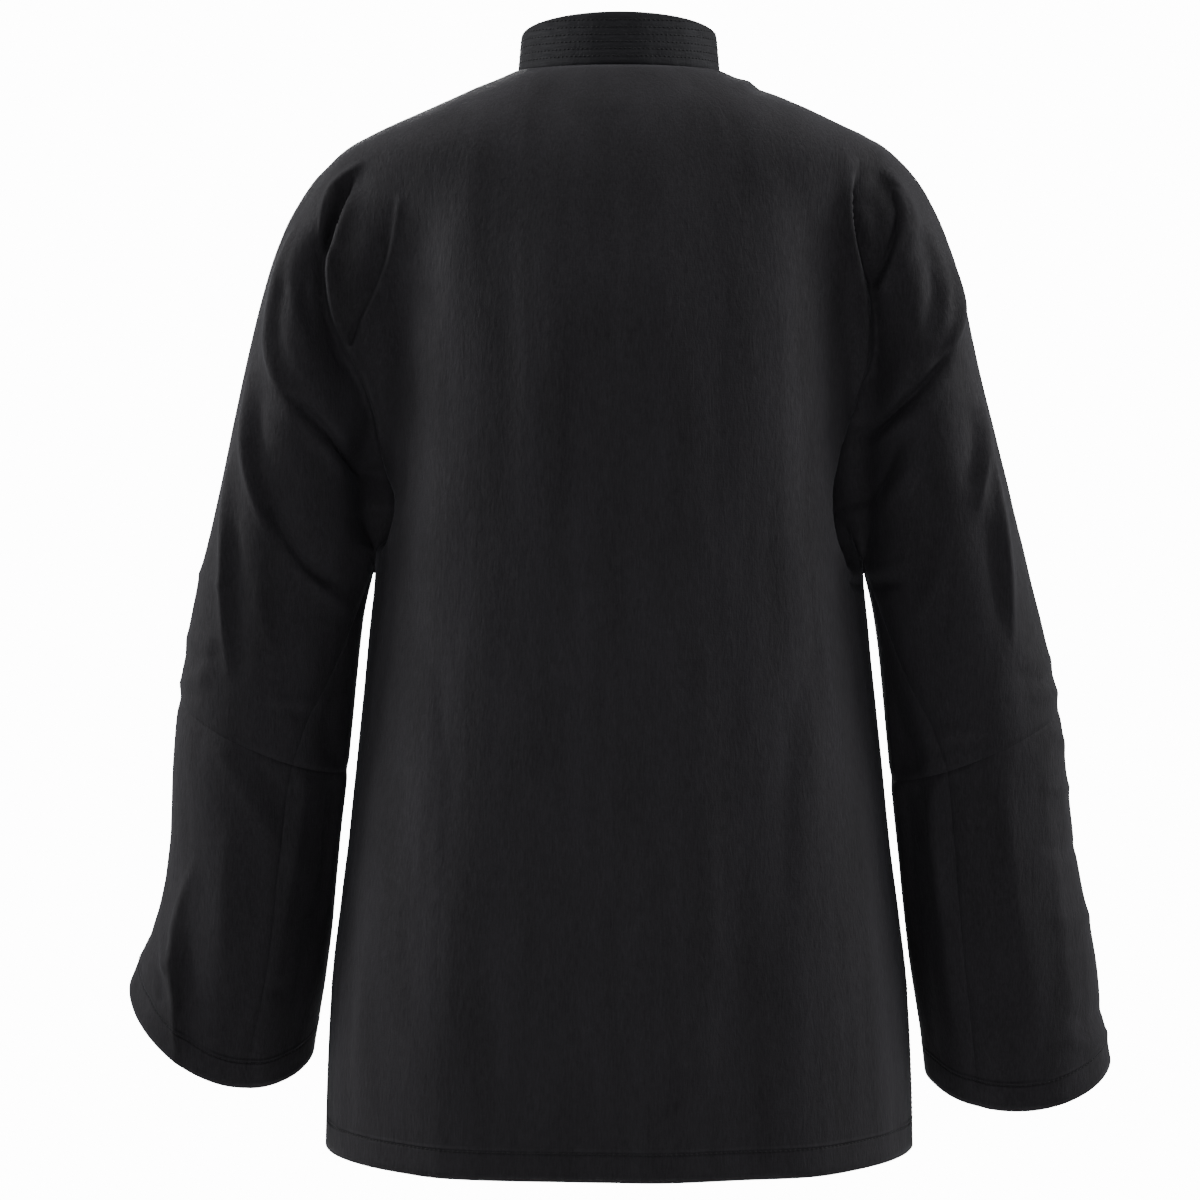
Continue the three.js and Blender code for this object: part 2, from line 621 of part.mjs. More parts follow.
// A place over the front's cloth, a height away from it
function overFront(x, z, height) {
  const depth = (atX, atZ) => bodyDepth(FRONT, atX >= 0 ? LEFT : RIGHT, abs(atX), atZ);
  const slopeX = (depth(x + 1, z) - depth(x - 1, z)) / 2;
  const slopeZ = (depth(x, z + 1) - depth(x, z - 1)) / 2;
  const outward = new THREE.Vector3(-slopeX, -1, -slopeZ).normalize();
  return new THREE.Vector3(x, -depth(x, z), z).addScaledVector(outward, height);
}

// A cord along a row of points given as place across, place up and height over the cloth
function cordGeometry(places, z, steps) {
  const base = FROG.cordRadius + FROG.gap;
  const points = places.map(([x, up, height]) => overFront(x, z + up, base + height));
  const outline = new THREE.Shape();
  for (let i = 0; i < FROG.sides; i += 1) {
    const angle = (2 * PI * (i + 0.5)) / FROG.sides;
    const corner = [FROG.cordRadius * cos(angle), FROG.cordRadius * sin(angle)];
    if (i === 0) outline.moveTo(...corner);
    else outline.lineTo(...corner);
  }
  outline.closePath();
  const extrudePath = new THREE.CatmullRomCurve3(points, false, "centripetal");
  return new THREE.ExtrudeGeometry(outline, { steps, extrudePath, bevelEnabled: false });
}

// A loop: two runs of cord that end in an eye round the knot
function loopGeometry(z) {
  const half = FROG.runSpacing / 2;
  const arc = [];
  const opening = Math.asin(half / FROG.eyeRadius);
  const STEPS = 8;
  for (let i = 0; i <= STEPS; i += 1) {
    const angle = PI - opening - (i / STEPS) * 2 * (PI - opening);
    const x = FROG.eyeRadius * cos(angle);
    arc.push([x, FROG.eyeRadius * sin(angle), FROG.eyeRise * smoothstep(x, FROG.eyeFrom, FROG.eyeRadius)]);
  }
  const run = [-FROG.barEnd, ...FROG.loopBar];
  const upper = run.map((x) => [x, half, 0]);
  const lower = [...run].reverse().map((x) => [x, -half, 0]);
  return cordGeometry([...upper, ...arc, ...lower], z, FROG.loopSteps);
}

// A knot: two runs of cord that meet under a ball
function knotGeometry(z) {
  const half = FROG.runSpacing / 2;
  const run = [FROG.barEnd, ...FROG.knotBar];
  const upper = run.map((x) => [x, half, 0]);
  const lower = [...run].reverse().map((x) => [x, -half, 0]);
  const bar = cordGeometry([...upper, [FROG.knotStem, 0, 0], ...lower], z, FROG.knotSteps);
  const ball = new THREE.SphereGeometry(FROG.knotRadius, FROG.ballSides, FROG.ballRows);
  ball.rotateX(PI / 2);
  const middle = overFront(0, z, FROG.gap + FROG.knotRise);
  ball.translate(middle.x, middle.y, middle.z);
  return joined([bar, ball]);
}

function solidOf(geometry) {
  const bare = new THREE.BufferGeometry();
  bare.setAttribute("position", geometry.getAttribute("position"));
  if (geometry.index) bare.setIndex(geometry.index);
  const merged = mergeVertices(bare, 1e-3);
  const vertProperties = new Float32Array(merged.attributes.position.array);
  return new wasm.Manifold(
    new wasm.Mesh({ numProp: 3, vertProperties, triVerts: new Uint32Array(merged.index.array) }),
  );
}

function joined(geometries) {
  const mesh = geometries.map(solidOf).reduce((a, b) => a.add(b)).getMesh();
  const geometry = new THREE.BufferGeometry();
  geometry.setAttribute("position", new THREE.BufferAttribute(new Float32Array(mesh.vertProperties), 3));
  geometry.setIndex(new THREE.BufferAttribute(new Uint32Array(mesh.triVerts), 1));
  geometry.computeVertexNormals();
  return geometry;
}

// Materials and the shirt itself
const blackCloth = new THREE.MeshStandardMaterial({ color: 0x17181b, roughness: 0.9, metalness: 0 });
const collarCloth = new THREE.MeshStandardMaterial({ color: 0x151619, roughness: 0.88, metalness: 0 });
const rolledCord = new THREE.MeshStandardMaterial({ color: 0x131416, roughness: 0.85, metalness: 0 });

function part(name, geometry, material) {
  const mesh = new THREE.Mesh(geometry, material);
  mesh.name = name;
  return mesh;
}

const shirt = new THREE.Group();
shirt.name = "kung_fu_shirt";

const sheets = {
  back_left: bodySheet(BACK, LEFT),
  back_right: bodySheet(BACK, RIGHT),
  front_left: bodySheet(FRONT, LEFT),
  front_right: bodySheet(FRONT, RIGHT),
  lower_sleeve_left: lowerSleeveSheet(LEFT),
  lower_sleeve_right: lowerSleeveSheet(RIGHT),
};
sewTogether(Object.values(sheets));
for (const [name, sheet] of Object.entries(sheets)) {
  shirt.add(part(name, wallGeometry(sheet, CLOTH), blackCloth));
}

shirt.add(part("collar", wallGeometry(collarSheet(), COLLAR_CLOTH), collarCloth));

for (let i = 0; i < FROG.count; i += 1) {
  const z = FROG.topZ - i * FROG.pitch;
  shirt.add(part(`frog_knot_${i + 1}`, knotGeometry(z), rolledCord));
  shirt.add(part(`frog_loop_${i + 1}`, loopGeometry(z), rolledCord));
}

export default shirt;
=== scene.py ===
import math

import bmesh
import bpy
from mathutils import Matrix, Vector, kdtree, noise


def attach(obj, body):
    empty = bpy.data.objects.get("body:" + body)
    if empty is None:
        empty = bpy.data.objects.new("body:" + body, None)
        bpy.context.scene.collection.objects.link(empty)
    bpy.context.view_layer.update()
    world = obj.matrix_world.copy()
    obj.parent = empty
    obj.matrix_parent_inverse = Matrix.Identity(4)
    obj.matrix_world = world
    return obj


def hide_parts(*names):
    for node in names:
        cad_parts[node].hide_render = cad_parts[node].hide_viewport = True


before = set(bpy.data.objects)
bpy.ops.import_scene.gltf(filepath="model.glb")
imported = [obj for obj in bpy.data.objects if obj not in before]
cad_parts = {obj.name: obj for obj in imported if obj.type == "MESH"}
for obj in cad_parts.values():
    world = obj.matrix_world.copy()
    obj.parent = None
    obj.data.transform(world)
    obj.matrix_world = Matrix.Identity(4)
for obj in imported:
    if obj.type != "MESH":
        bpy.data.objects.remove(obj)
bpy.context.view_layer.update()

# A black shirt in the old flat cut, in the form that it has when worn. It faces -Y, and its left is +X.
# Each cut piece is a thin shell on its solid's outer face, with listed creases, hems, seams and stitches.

MM = 0.001
BACK, FRONT = 1, -1
LEFT, RIGHT = 1, -1  # the wearer's left is +X
FAR = 1.0  # a distance at which nothing is felt

# Cloth, and the walls of the solids that it covers
CLOTH = 1.3 * MM  # one layer as it shows at an edge
COLLAR_CLOTH = 2.8 * MM
BODY_WALL = 1.6 * MM
SOLID_WALLS = {"collar": 3.0 * MM}  # where they differ from the body's
WALL_MATCH = 0.02 * MM  # an edge as long as the wall is thick, within this, crosses the wall
WELD = 0.01 * MM  # corners nearer than this are one
HALVES_APART = 1 * MM  # the back's two solids are less than this apart at its middle
LONG_CELL = 21 * MM  # rows of faces longer than this are cut once more
BODY_LEVELS = 2  # times that a sheet's faces are subdivided
COLLAR_LEVELS = 3
CORD_LEVELS = 2
CORD_CORNER = 40  # degrees, above which two faces of a cord stay apart

# Edges of the cut pieces
HEM_Z = -750 * MM
HEM_RISE = 3 * MM  # how far the hem's edge rises above that
VENT_TOP = -655 * MM
SIDE_X = 150 * MM  # vents lie farther out than this
CUFF_TOP = -560 * MM
LEVEL_RISE = 0.7  # a level edge rises by less than this share of its length
UPRIGHT_RISE = 0.97  # and an upright one by more than this
EDGE_STEPS = 4  # places measured along each edge

# Sewing
HEM_WIDTH = 20 * MM
HEM_ROW = HEM_WIDTH - 1.5 * MM  # where the hem's stitches run
STITCH = 2.5 * MM
STITCH_PITCH = 3.3 * MM
THREAD = 0.34 * MM  # half of a stitch's thickness as it shows
THREAD_RISE = 0.35  # the share of that by which a stitch's middle stands out of the cloth
SCRAP = 3  # a line of this many places or fewer is too short to sew
SEAM_PULL = 1.1 * MM  # how far cloth dips into a seam
SEAM_REACH = 5 * MM
ALLOWANCE = 1.4 * MM  # the turned-in cloth that shows in a seam, so that no seam gapes
ALLOWANCE_DROP = 1.5 * MM

# The collar and the neck under it
COLLAR_ROW = 5.1 * MM  # between two rows of topstitching
COLLAR_PUFF = 0.28 * MM  # how far the cloth stands up between two of those rows
PUFF_FULLNESS = 0.7  # below 1 the puffs are full and the furrows between them narrow
PUFF_PATCH = 16 * MM  # the puffs are uneven from patch to patch of this size
PUFF_SHARE, PUFF_UNEVEN = 0.7, 0.5  # of their height, everywhere and by patch
TOP_FADE = 2 * MM  # the puffs flatten out this near to the top edge
TOP_ROW = 2.5 * MM  # no row of stitches is nearer to the top edge
COLLAR_CRINKLES = 0.35  # share of the body's crinkles that the stiff collar has
COLLAR_FOOT = 4 * MM  # the collar's allowance, which goes down inside the neck
FOOT_SLANT = 0.4  # how far the foot goes inwards for each step down
NECK_NEAR, NECK_FAR, NECK_LOW = 78 * MM, 95 * MM, -70 * MM  # from the neck's axis, and its lowest place
NECK_EASE = 0.4  # share by which seams pull less there

# How folds die away
SEAM_CALM = 12 * MM  # near a seam
SEAM_FOLDS = 0.35  # share of a fold that is left at a seam
HEM_CALM = 30 * MM
HEM_CRINKLES = 0.4  # share of the crinkles that is left at a hem
FACING = (0.08, 0.4)  # how squarely cloth looks back or forwards where folds start and where they are full

# Crinkles as (depth, width, length)
WIDE_CRINKLE = (1.5 * MM, 26 * MM, 110 * MM)
FINE_CRINKLE = (0.55 * MM, 9.5 * MM, 45 * MM)
CRINKLE_PATCH = 120 * MM
CRINKLE_SHARE, CRINKLE_UNEVEN = 0.55, 0.45  # of their depth, everywhere and by patch

# Creases, in shares of their reach or of their line's length
CREST = 0.45  # a crest is round over this much
CREASE_FALL = 1.25  # how fast the slopes die away
CREASE_END = 0.02
CREASE_FULLNESS = 0.6  # below 1 a crease keeps its height towards its ends
CREASE_MARGIN = 3.4  # past which it isn't felt

# Overhangs, in the same shares
OVERHANG_RISES, OVERHANG_FALLS = 0.12, 0.9  # full from the first share of its line to the second
DROP_SPANS = ((0.15, 0.45), (0.55, 0.85))  # where one drop goes over into the next
NARROWEST = 0.55  # reaches that an overhang with no drop is wide
DROP_PER_REACH = 20  # mm of drop that make it one reach wider
OVERHANG_LIP = 0.5  # where the raised edge ends
OVERHANG_INSIDE = 1.4  # how softly it rises from the inner side
OVERHANG_RECOVERY = 1.6  # over which the cloth comes back up
OVERHANG_MARGIN = 8  # past which it isn't felt

# Faces are halved near folds with at least this lift and at most this reach, in mm
SHARP_LIFT = 4.4
SHARP_REACH = 7
FINE_REACH = 6.5 * MM  # from the fold's line

# Studio
PHOTO_SIDE = 1200  # px of the square picture
MM_PER_PX = 0.70  # at the shirt's middle plane
MIDDLE_PX = 619  # column of the shirt's middle
DISTANCE = 1.816  # of the camera from that plane
EYE_HEIGHT = -0.3724
SENSOR = 36.0  # mm
AIM = Vector((0, 0, -0.35))
FLOOR_Z = -1.45  # where the floor is when the shirt is worn
FLOOR_RADIUS = 2.6  # the floor ends below the picture
PAPER_GLOW = 0.15  # light that the paper gives, as if it had lamps of its own
BACKDROP_LIGHT = 14.0  # the white behind the shirt
ROOM_LIGHT = 0.07  # the dim room that lights it

# Folds are lines on the elevation, in mm, given as places of (x outwards, z).
# Where cloth hangs over its neighbour: the inner side is raised by lift. Outside it the cloth falls away
# within reach, by drops at the line's start, middle and end, and comes back up.
OVERHANG_COLUMNS = ("face", "side", "lift", "drops", "reach", "line")
OVERHANGS = [
    # The back's edge over the left sleeve, from the shoulder's pocket to the underarm
    (
        BACK, LEFT, 3, (13, 10.5, 18), 4.2,
        [(176, -84), (187, -108), (194, -130), (197, -152), (194, -176), (183, -203),
         (173, -223), (166, -246), (163, -270), (157, -294), (152, -310), (156, -328), (164, -342)],
    ),
    # The fold beside it, which ends at that edge
    (
        BACK, LEFT, 1, (0.5, 3, 5), 4,
        [(148, -96), (152, -124), (158, -148), (166, -168), (175, -187), (181, -204)],
    ),
    # The right shoulder's pocket. Its raised side is the outer one, so its line runs up
    (
        BACK, RIGHT, 2.6, (6, 7, 1), 3.4,
        [(173, -165), (178, -154), (186, -137), (191, -121), (191, -106), (186, -93)],
    ),
    # The back's edge over the right sleeve
    (
        BACK, RIGHT, 3, (9, 12, 18), 4.2,
        [(160, -73), (156, -98), (157, -122), (162, -149), (167, -174), (168, -206),
         (163, -228), (155, -252), (147, -280), (143, -308), (147, -336), (158, -358)],
    ),
    # The front is like the back, and less deep
    (
        FRONT, LEFT, 2.5, (10, 7, 12), 6,
        [(176, -84), (186, -112), (190, -150), (184, -200), (170, -244), (160, -290), (160, -340)],
    ),
    (
        FRONT, RIGHT, 2.5, (10, 7, 12), 6,
        [(166, -82), (174, -112), (176, -152), (172, -204), (160, -250), (152, -296), (158, -348)],
    ),
]

# Creases that run round a sleeve or shoulder, over its outline, on both faces
ROUND_COLUMNS = ("side", "reach", "lift", "line")
ROUND_CREASES = [
    (RIGHT, 3.5, 2.2, [(78, -24), (90, -14), (100, -4)]),
    (RIGHT, 4, -2, [(88, -32), (99, -20), (110, -8)]),
    (LEFT, 4, 1.3, [(284, -424), (298, -430), (316, -430)]),
    (LEFT, 4, -1.6, [(282, -434), (298, -439), (318, -438)]),
    (LEFT, 5, 1.4, [(270, -402), (288, -402), (310, -396)]),
    (LEFT, 5, -1.2, [(272, -412), (288, -414), (310, -410)]),
    (LEFT, 4, 1.6, [(262, -366), (278, -360), (300, -350)]),
    (LEFT, 5, -1.4, [(306, -606), (320, -612), (338, -606)]),
    (LEFT, 5, 1.6, [(308, -620), (320, -628), (342, -624)]),
    (LEFT, 6, -1.5, [(308, -642), (320, -650), (344, -648)]),
    (RIGHT, 4, 1.3, [(284, -436), (300, -438), (318, -434)]),
    (RIGHT, 4, -1.6, [(282, -446), (300, -447), (320, -444)]),
    (RIGHT, 5, 1.3, [(272, -414), (290, -416), (310, -412)]),
    (RIGHT, 5, -1.2, [(270, -424), (288, -426), (308, -424)]),
    (RIGHT, 4, 1.6, [(290, -500), (306, -504), (326, -500)]),
    (RIGHT, 5, -1.8, [(290, -540), (308, -546), (330, -544)]),
    (RIGHT, 5, 1.8, [(296, -590), (316, -596), (340, -592)]),
    (RIGHT, 4, -2, [(310, -660), (326, -664), (350, -660)]),
    (RIGHT, 4, 2.2, [(306, -676), (328, -682), (352, -678)]),
]

# A crease has a lift above 0 where it is a ridge and below 0 where it is a trough. reach is its half-width.
CREASE_COLUMNS = ("face", "side", "reach", "lift", "line")
CREASES = [
    # Left shoulder and upper sleeve
    (
        BACK, LEFT, 4, 6.5,
        [(172, -74), (184, -82), (195, -92), (201, -108), (202, -126), (199, -142), (196, -158)],
    ),
    (BACK, LEFT, 4, -4, [(182, -90), (191, -104), (195, -122), (196, -136)]),
    (BACK, LEFT, 4.4, 8, [(221, -118), (231, -150), (236, -184), (236, -204), (230, -226), (217, -244)]),
    (BACK, LEFT, 3.4, -8, [(230, -228), (221, -237), (202, -255), (183, -274), (164, -293), (154, -304)]),
    (BACK, LEFT, 5, 3.4, [(228, -242), (210, -258), (196, -274), (184, -288)]),
    (BACK, LEFT, 4, 3.6, [(216, -120), (222, -148), (221, -168), (216, -188), (208, -204)]),
    (BACK, LEFT, 5, -3.4, [(210, -132), (214, -160), (210, -186), (200, -208)]),
    (BACK, LEFT, 4, 3, [(229, -168), (226, -192), (218, -214), (206, -228)]),
    (BACK, LEFT, 5, -3, [(226, -150), (230, -180), (226, -206), (214, -228)]),
    (BACK, LEFT, 4.2, 7, [(250, -206), (254, -238), (255, -262), (252, -285), (246, -308), (237, -330)]),
    (BACK, LEFT, 6, -4.5, [(244, -226), (246, -262), (241, -290), (230, -314)]),
    (BACK, LEFT, 4, 6.5, [(264, -272), (269, -306), (270, -340), (270, -380), (266, -420)]),
    (BACK, LEFT, 5, -3.4, [(262, -300), (262, -340), (262, -384), (258, -418)]),
    (BACK, LEFT, 4, -6, [(238, -304), (233, -317), (220, -340), (206, -355), (192, -360)]),
    (BACK, LEFT, 5, 3.5, [(230, -330), (216, -352), (198, -370), (184, -380)]),
    (BACK, LEFT, 5, 2.6, [(176, -318), (170, -330), (172, -346), (180, -362)]),
    (BACK, LEFT, 5, 2.6, [(246, -352), (242, -384), (234, -412)]),
    (BACK, LEFT, 12, -7, [(178, -258), (170, -288), (167, -314), (172, -338)]),
    # Left elbow and lower sleeve
    (BACK, LEFT, 5, 3, [(224, -448), (217, -490), (223, -545), (238, -620), (250, -700)]),
    (BACK, LEFT, 9, -6, [(200, -440), (196, -500), (203, -570), (220, -640), (234, -710)]),
    (BACK, LEFT, 6, 2, [(276, -390), (284, -420), (290, -446)]),
    (BACK, LEFT, 3, 2, [(238, -439), (222, -443), (206, -443)]),
    (BACK, LEFT, 2.6, -2.4, [(230, -445), (216, -449), (203, -449)]),
    (BACK, LEFT, 8, 3.4, [(278, -462), (262, -492), (240, -528), (222, -560)]),
    (BACK, LEFT, 8, -2.6, [(254, -462), (240, -492), (226, -520)]),
    (BACK, LEFT, 4.5, 5.5, [(294, -556), (304, -590), (308, -620), (306, -654), (305, -690)]),
    (BACK, LEFT, 6, -3.4, [(298, -600), (298, -640), (296, -684)]),
    (BACK, LEFT, 9, 2.4, [(264, -520), (272, -580), (270, -650)]),
    (BACK, LEFT, 3, -2.6, [(246, -640), (238, -642), (230, -638)]),
    (BACK, LEFT, 3, 2.4, [(320, -600), (316, -618), (312, -632)]),
    (BACK, LEFT, 3, -2.2, [(322, -618), (318, -636), (316, -652)]),
    # Right shoulder and upper sleeve
    (BACK, RIGHT, 4, 4, [(176, -76), (189, -90), (197, -108), (197, -130), (188, -148)]),
    (BACK, RIGHT, 5, -3.4, [(168, -92), (174, -114), (174, -136), (168, -158)]),
    (BACK, RIGHT, 2.6, -2, [(176, -82), (180, -92), (181, -102)]),
    (BACK, RIGHT, 5, 4, [(208, -118), (219, -148), (221, -168), (218, -188), (208, -206)]),
    (BACK, RIGHT, 5, -3.4, [(202, -122), (211, -148), (212, -172), (204, -196)]),
    (BACK, RIGHT, 4, 7, [(226, -140), (231, -166), (230, -182), (225, -198), (218, -210)]),
    (BACK, RIGHT, 3.2, -8, [(226, -200), (219, -211), (206, -227), (191, -240), (172, -256), (158, -269)]),
    (BACK, RIGHT, 5, 3.6, [(224, -220), (206, -240), (186, -256), (168, -272)]),
    (BACK, RIGHT, 5, -4.5, [(190, -264), (178, -288), (166, -305), (158, -316)]),
    (BACK, RIGHT, 5, 2.2, [(200, -276), (190, -294), (180, -308)]),
    (BACK, RIGHT, 4.5, 5, [(246, -232), (250, -262), (247, -290), (243, -312)]),
    (BACK, RIGHT, 5, -3.6, [(240, -240), (242, -270), (238, -298)]),
    (BACK, RIGHT, 4, 6, [(252, -270), (257, -296), (262, -326), (266, -362), (268, -400)]),
    (BACK, RIGHT, 5, -3, [(250, -318), (255, -350), (260, -390)]),
    (BACK, RIGHT, 3.2, -5, [(156, -360), (174, -363), (192, -361)]),
    (BACK, RIGHT, 4, 3, [(160, -350), (176, -352), (194, -350)]),
    (BACK, RIGHT, 6, 2.4, [(222, -330), (214, -362), (200, -388)]),
    (BACK, RIGHT, 12, -7, [(168, -254), (160, -288), (157, -314), (160, -340)]),
    # Right elbow and lower sleeve
    (BACK, RIGHT, 5, 2.8, [(213, -462), (215, -500), (217, -548), (226, -620), (236, -700)]),
    (BACK, RIGHT, 9, -6, [(192, -430), (197, -500), (201, -560), (210, -630), (222, -710)]),
    (BACK, RIGHT, 3.4, -1.8, [(208, -473), (230, -471), (256, -467)]),
    (BACK, RIGHT, 3.4, 2, [(206, -466), (230, -464), (252, -460)]),
    (BACK, RIGHT, 3.5, 3.4, [(206, -488), (213, -524), (219, -552), (222, -584)]),
    (BACK, RIGHT, 5, -3.4, [(186, -442), (196, -466), (206, -500), (212, -540)]),
    (BACK, RIGHT, 8, 2.6, [(262, -500), (270, -570), (282, -650)]),
    (BACK, RIGHT, 8, -2.2, [(240, -560), (244, -620), (256, -670)]),
    (BACK, RIGHT, 6, 2, [(296, -520), (304, -590), (312, -660)]),
    (BACK, RIGHT, 3, 2.2, [(296, -462), (306, -468), (314, -480)]),
    # Long soft drapes of the back, which start at the neck and the shoulder blades
    (BACK, LEFT, 12, -2.6, [(4, -40), (10, -120), (6, -240)]),
    (BACK, LEFT, 11, 1.8, [(34, -48), (42, -150), (36, -300)]),
    (BACK, LEFT, 12, -1.8, [(62, -70), (74, -190), (70, -330)]),
    (BACK, LEFT, 13, 1.8, [(96, -90), (118, -200), (120, -330)]),
    (BACK, LEFT, 11, -2.2, [(128, -110), (142, -210), (130, -330)]),
    (BACK, RIGHT, 11, 1.8, [(24, -44), (28, -140), (24, -260)]),
    (BACK, RIGHT, 12, -1.8, [(56, -64), (66, -180), (60, -320)]),
    (BACK, RIGHT, 13, 1.8, [(92, -88), (108, -190), (104, -330)]),
    (BACK, RIGHT, 11, -2.4, [(122, -100), (134, -200), (120, -320)]),
    (BACK, LEFT, 13, -2.6, [(150, -350), (120, -440), (112, -560)]),
    (BACK, LEFT, 15, 2.2, [(60, -420), (56, -540), (66, -700)]),
    (BACK, LEFT, 13, -1.8, [(20, -460), (16, -580), (22, -720)]),
    (BACK, RIGHT, 13, -2.6, [(146, -366), (116, -450), (108, -580)]),
    (BACK, RIGHT, 15, 2.2, [(50, -430), (58, -560), (52, -710)]),
    (BACK, RIGHT, 12, 2.6, [(160, -470), (166, -580), (172, -700)]),
    (BACK, LEFT, 12, 2.6, [(160, -470), (170, -590), (176, -710)]),
    # The front's own, like those of the back
    (FRONT, LEFT, 5, 5, [(176, -78), (192, -90), (200, -116), (198, -150)]),
    (FRONT, LEFT, 5, 5, [(222, -124), (236, -176), (232, -214), (214, -244)]),
    (FRONT, LEFT, 5, -5, [(222, -240), (196, -268), (172, -298), (158, -322)]),
    (FRONT, LEFT, 6, 4, [(252, -206), (256, -262), (248, -300), (238, -330)]),
    (FRONT, LEFT, 5, 3, [(228, -262), (222, -300), (200, -340)]),
    (FRONT, LEFT, 4, 3.4, [(242, -410), (222, -424), (196, -420)]),
    (FRONT, LEFT, 4, -3.4, [(252, -398), (228, -408), (200, -402)]),
    (FRONT, LEFT, 4, 2.8, [(246, -386), (224, -394), (198, -386)]),
    (FRONT, LEFT, 8, 2.6, [(262, -520), (268, -590), (274, -660)]),
    (FRONT, LEFT, 12, 2, [(70, -120), (84, -220), (80, -360)]),
    (FRONT, LEFT, 14, -2.2, [(40, -300), (52, -440), (44, -600)]),
    (FRONT, LEFT, 14, 2.4, [(110, -380), (118, -520), (112, -690)]),
    (FRONT, RIGHT, 5, 5, [(168, -76), (184, -88), (192, -112), (190, -146)]),
    (FRONT, RIGHT, 5, 5, [(218, -120), (232, -170), (226, -208), (206, -238)]),
    (FRONT, RIGHT, 5, -5, [(216, -234), (190, -262), (168, -290), (154, -314)]),
    (FRONT, RIGHT, 6, 4, [(246, -200), (250, -258), (242, -294), (232, -322)]),
    (FRONT, RIGHT, 5, 3, [(222, -256), (214, -296), (196, -332)]),
    (FRONT, RIGHT, 4, 3.4, [(240, -414), (220, -428), (196, -424)]),
    (FRONT, RIGHT, 4, -3.4, [(250, -402), (226, -412), (200, -404)]),
    (FRONT, RIGHT, 4, 2.8, [(244, -388), (224, -398), (200, -390)]),
    (FRONT, RIGHT, 8, 2.6, [(262, -530), (270, -600), (280, -670)]),
    (FRONT, RIGHT, 12, 2, [(66, -124), (78, -230), (74, -370)]),
    (FRONT, RIGHT, 14, -2.2, [(44, -310), (50, -450), (40, -610)]),
    (FRONT, RIGHT, 14, 2.4, [(112, -390), (120, -530), (116, -690)]),
]


def linear(hex_colour):
    """An sRGB hex colour as the linear RGBA that a shader takes."""
    channels = [int(hex_colour[i : i + 2], 16) / 255 for i in (1, 3, 5)]
    return [c / 12.92 if c <= 0.04045 else ((c + 0.055) / 1.055) ** 2.4 for c in channels] + [1.0]


def add_node(tree, kind, inputs=(), **settings):
    """Adds a node. inputs pairs a socket's name or number with a value, or with another node's output."""
    made = tree.nodes.new(kind)
    for name, value in settings.items():
        setattr(made, name, value)
    for socket, value in dict(inputs).items():
        if isinstance(value, bpy.types.NodeSocket):
            tree.links.new(value, made.inputs[socket])
        else:
            made.inputs[socket].default_value = value
    return made


def new_material(name):
    material = bpy.data.materials.new(name)
    material.use_nodes = True
    tree = material.node_tree
    shader = next(n for n in tree.nodes if n.type == "BSDF_PRINCIPLED")
    return material, tree, shader


def streaks(tree, place, across, along, detail=3.0, distortion=0.0):
    """Noise whose grains are across wide and along long, in metres, running up the piece."""
    stretched = add_node(
        tree,
        "ShaderNodeMapping",
        {"Vector": place, "Scale": (1 / across, 1 / across, 1 / along)},
    )
    return add_node(
        tree,
        "ShaderNodeTexNoise",
        {"Vector": stretched.outputs[0], "Scale": 1.0, "Detail": detail, "Distortion": distortion},
    ).outputs[0]


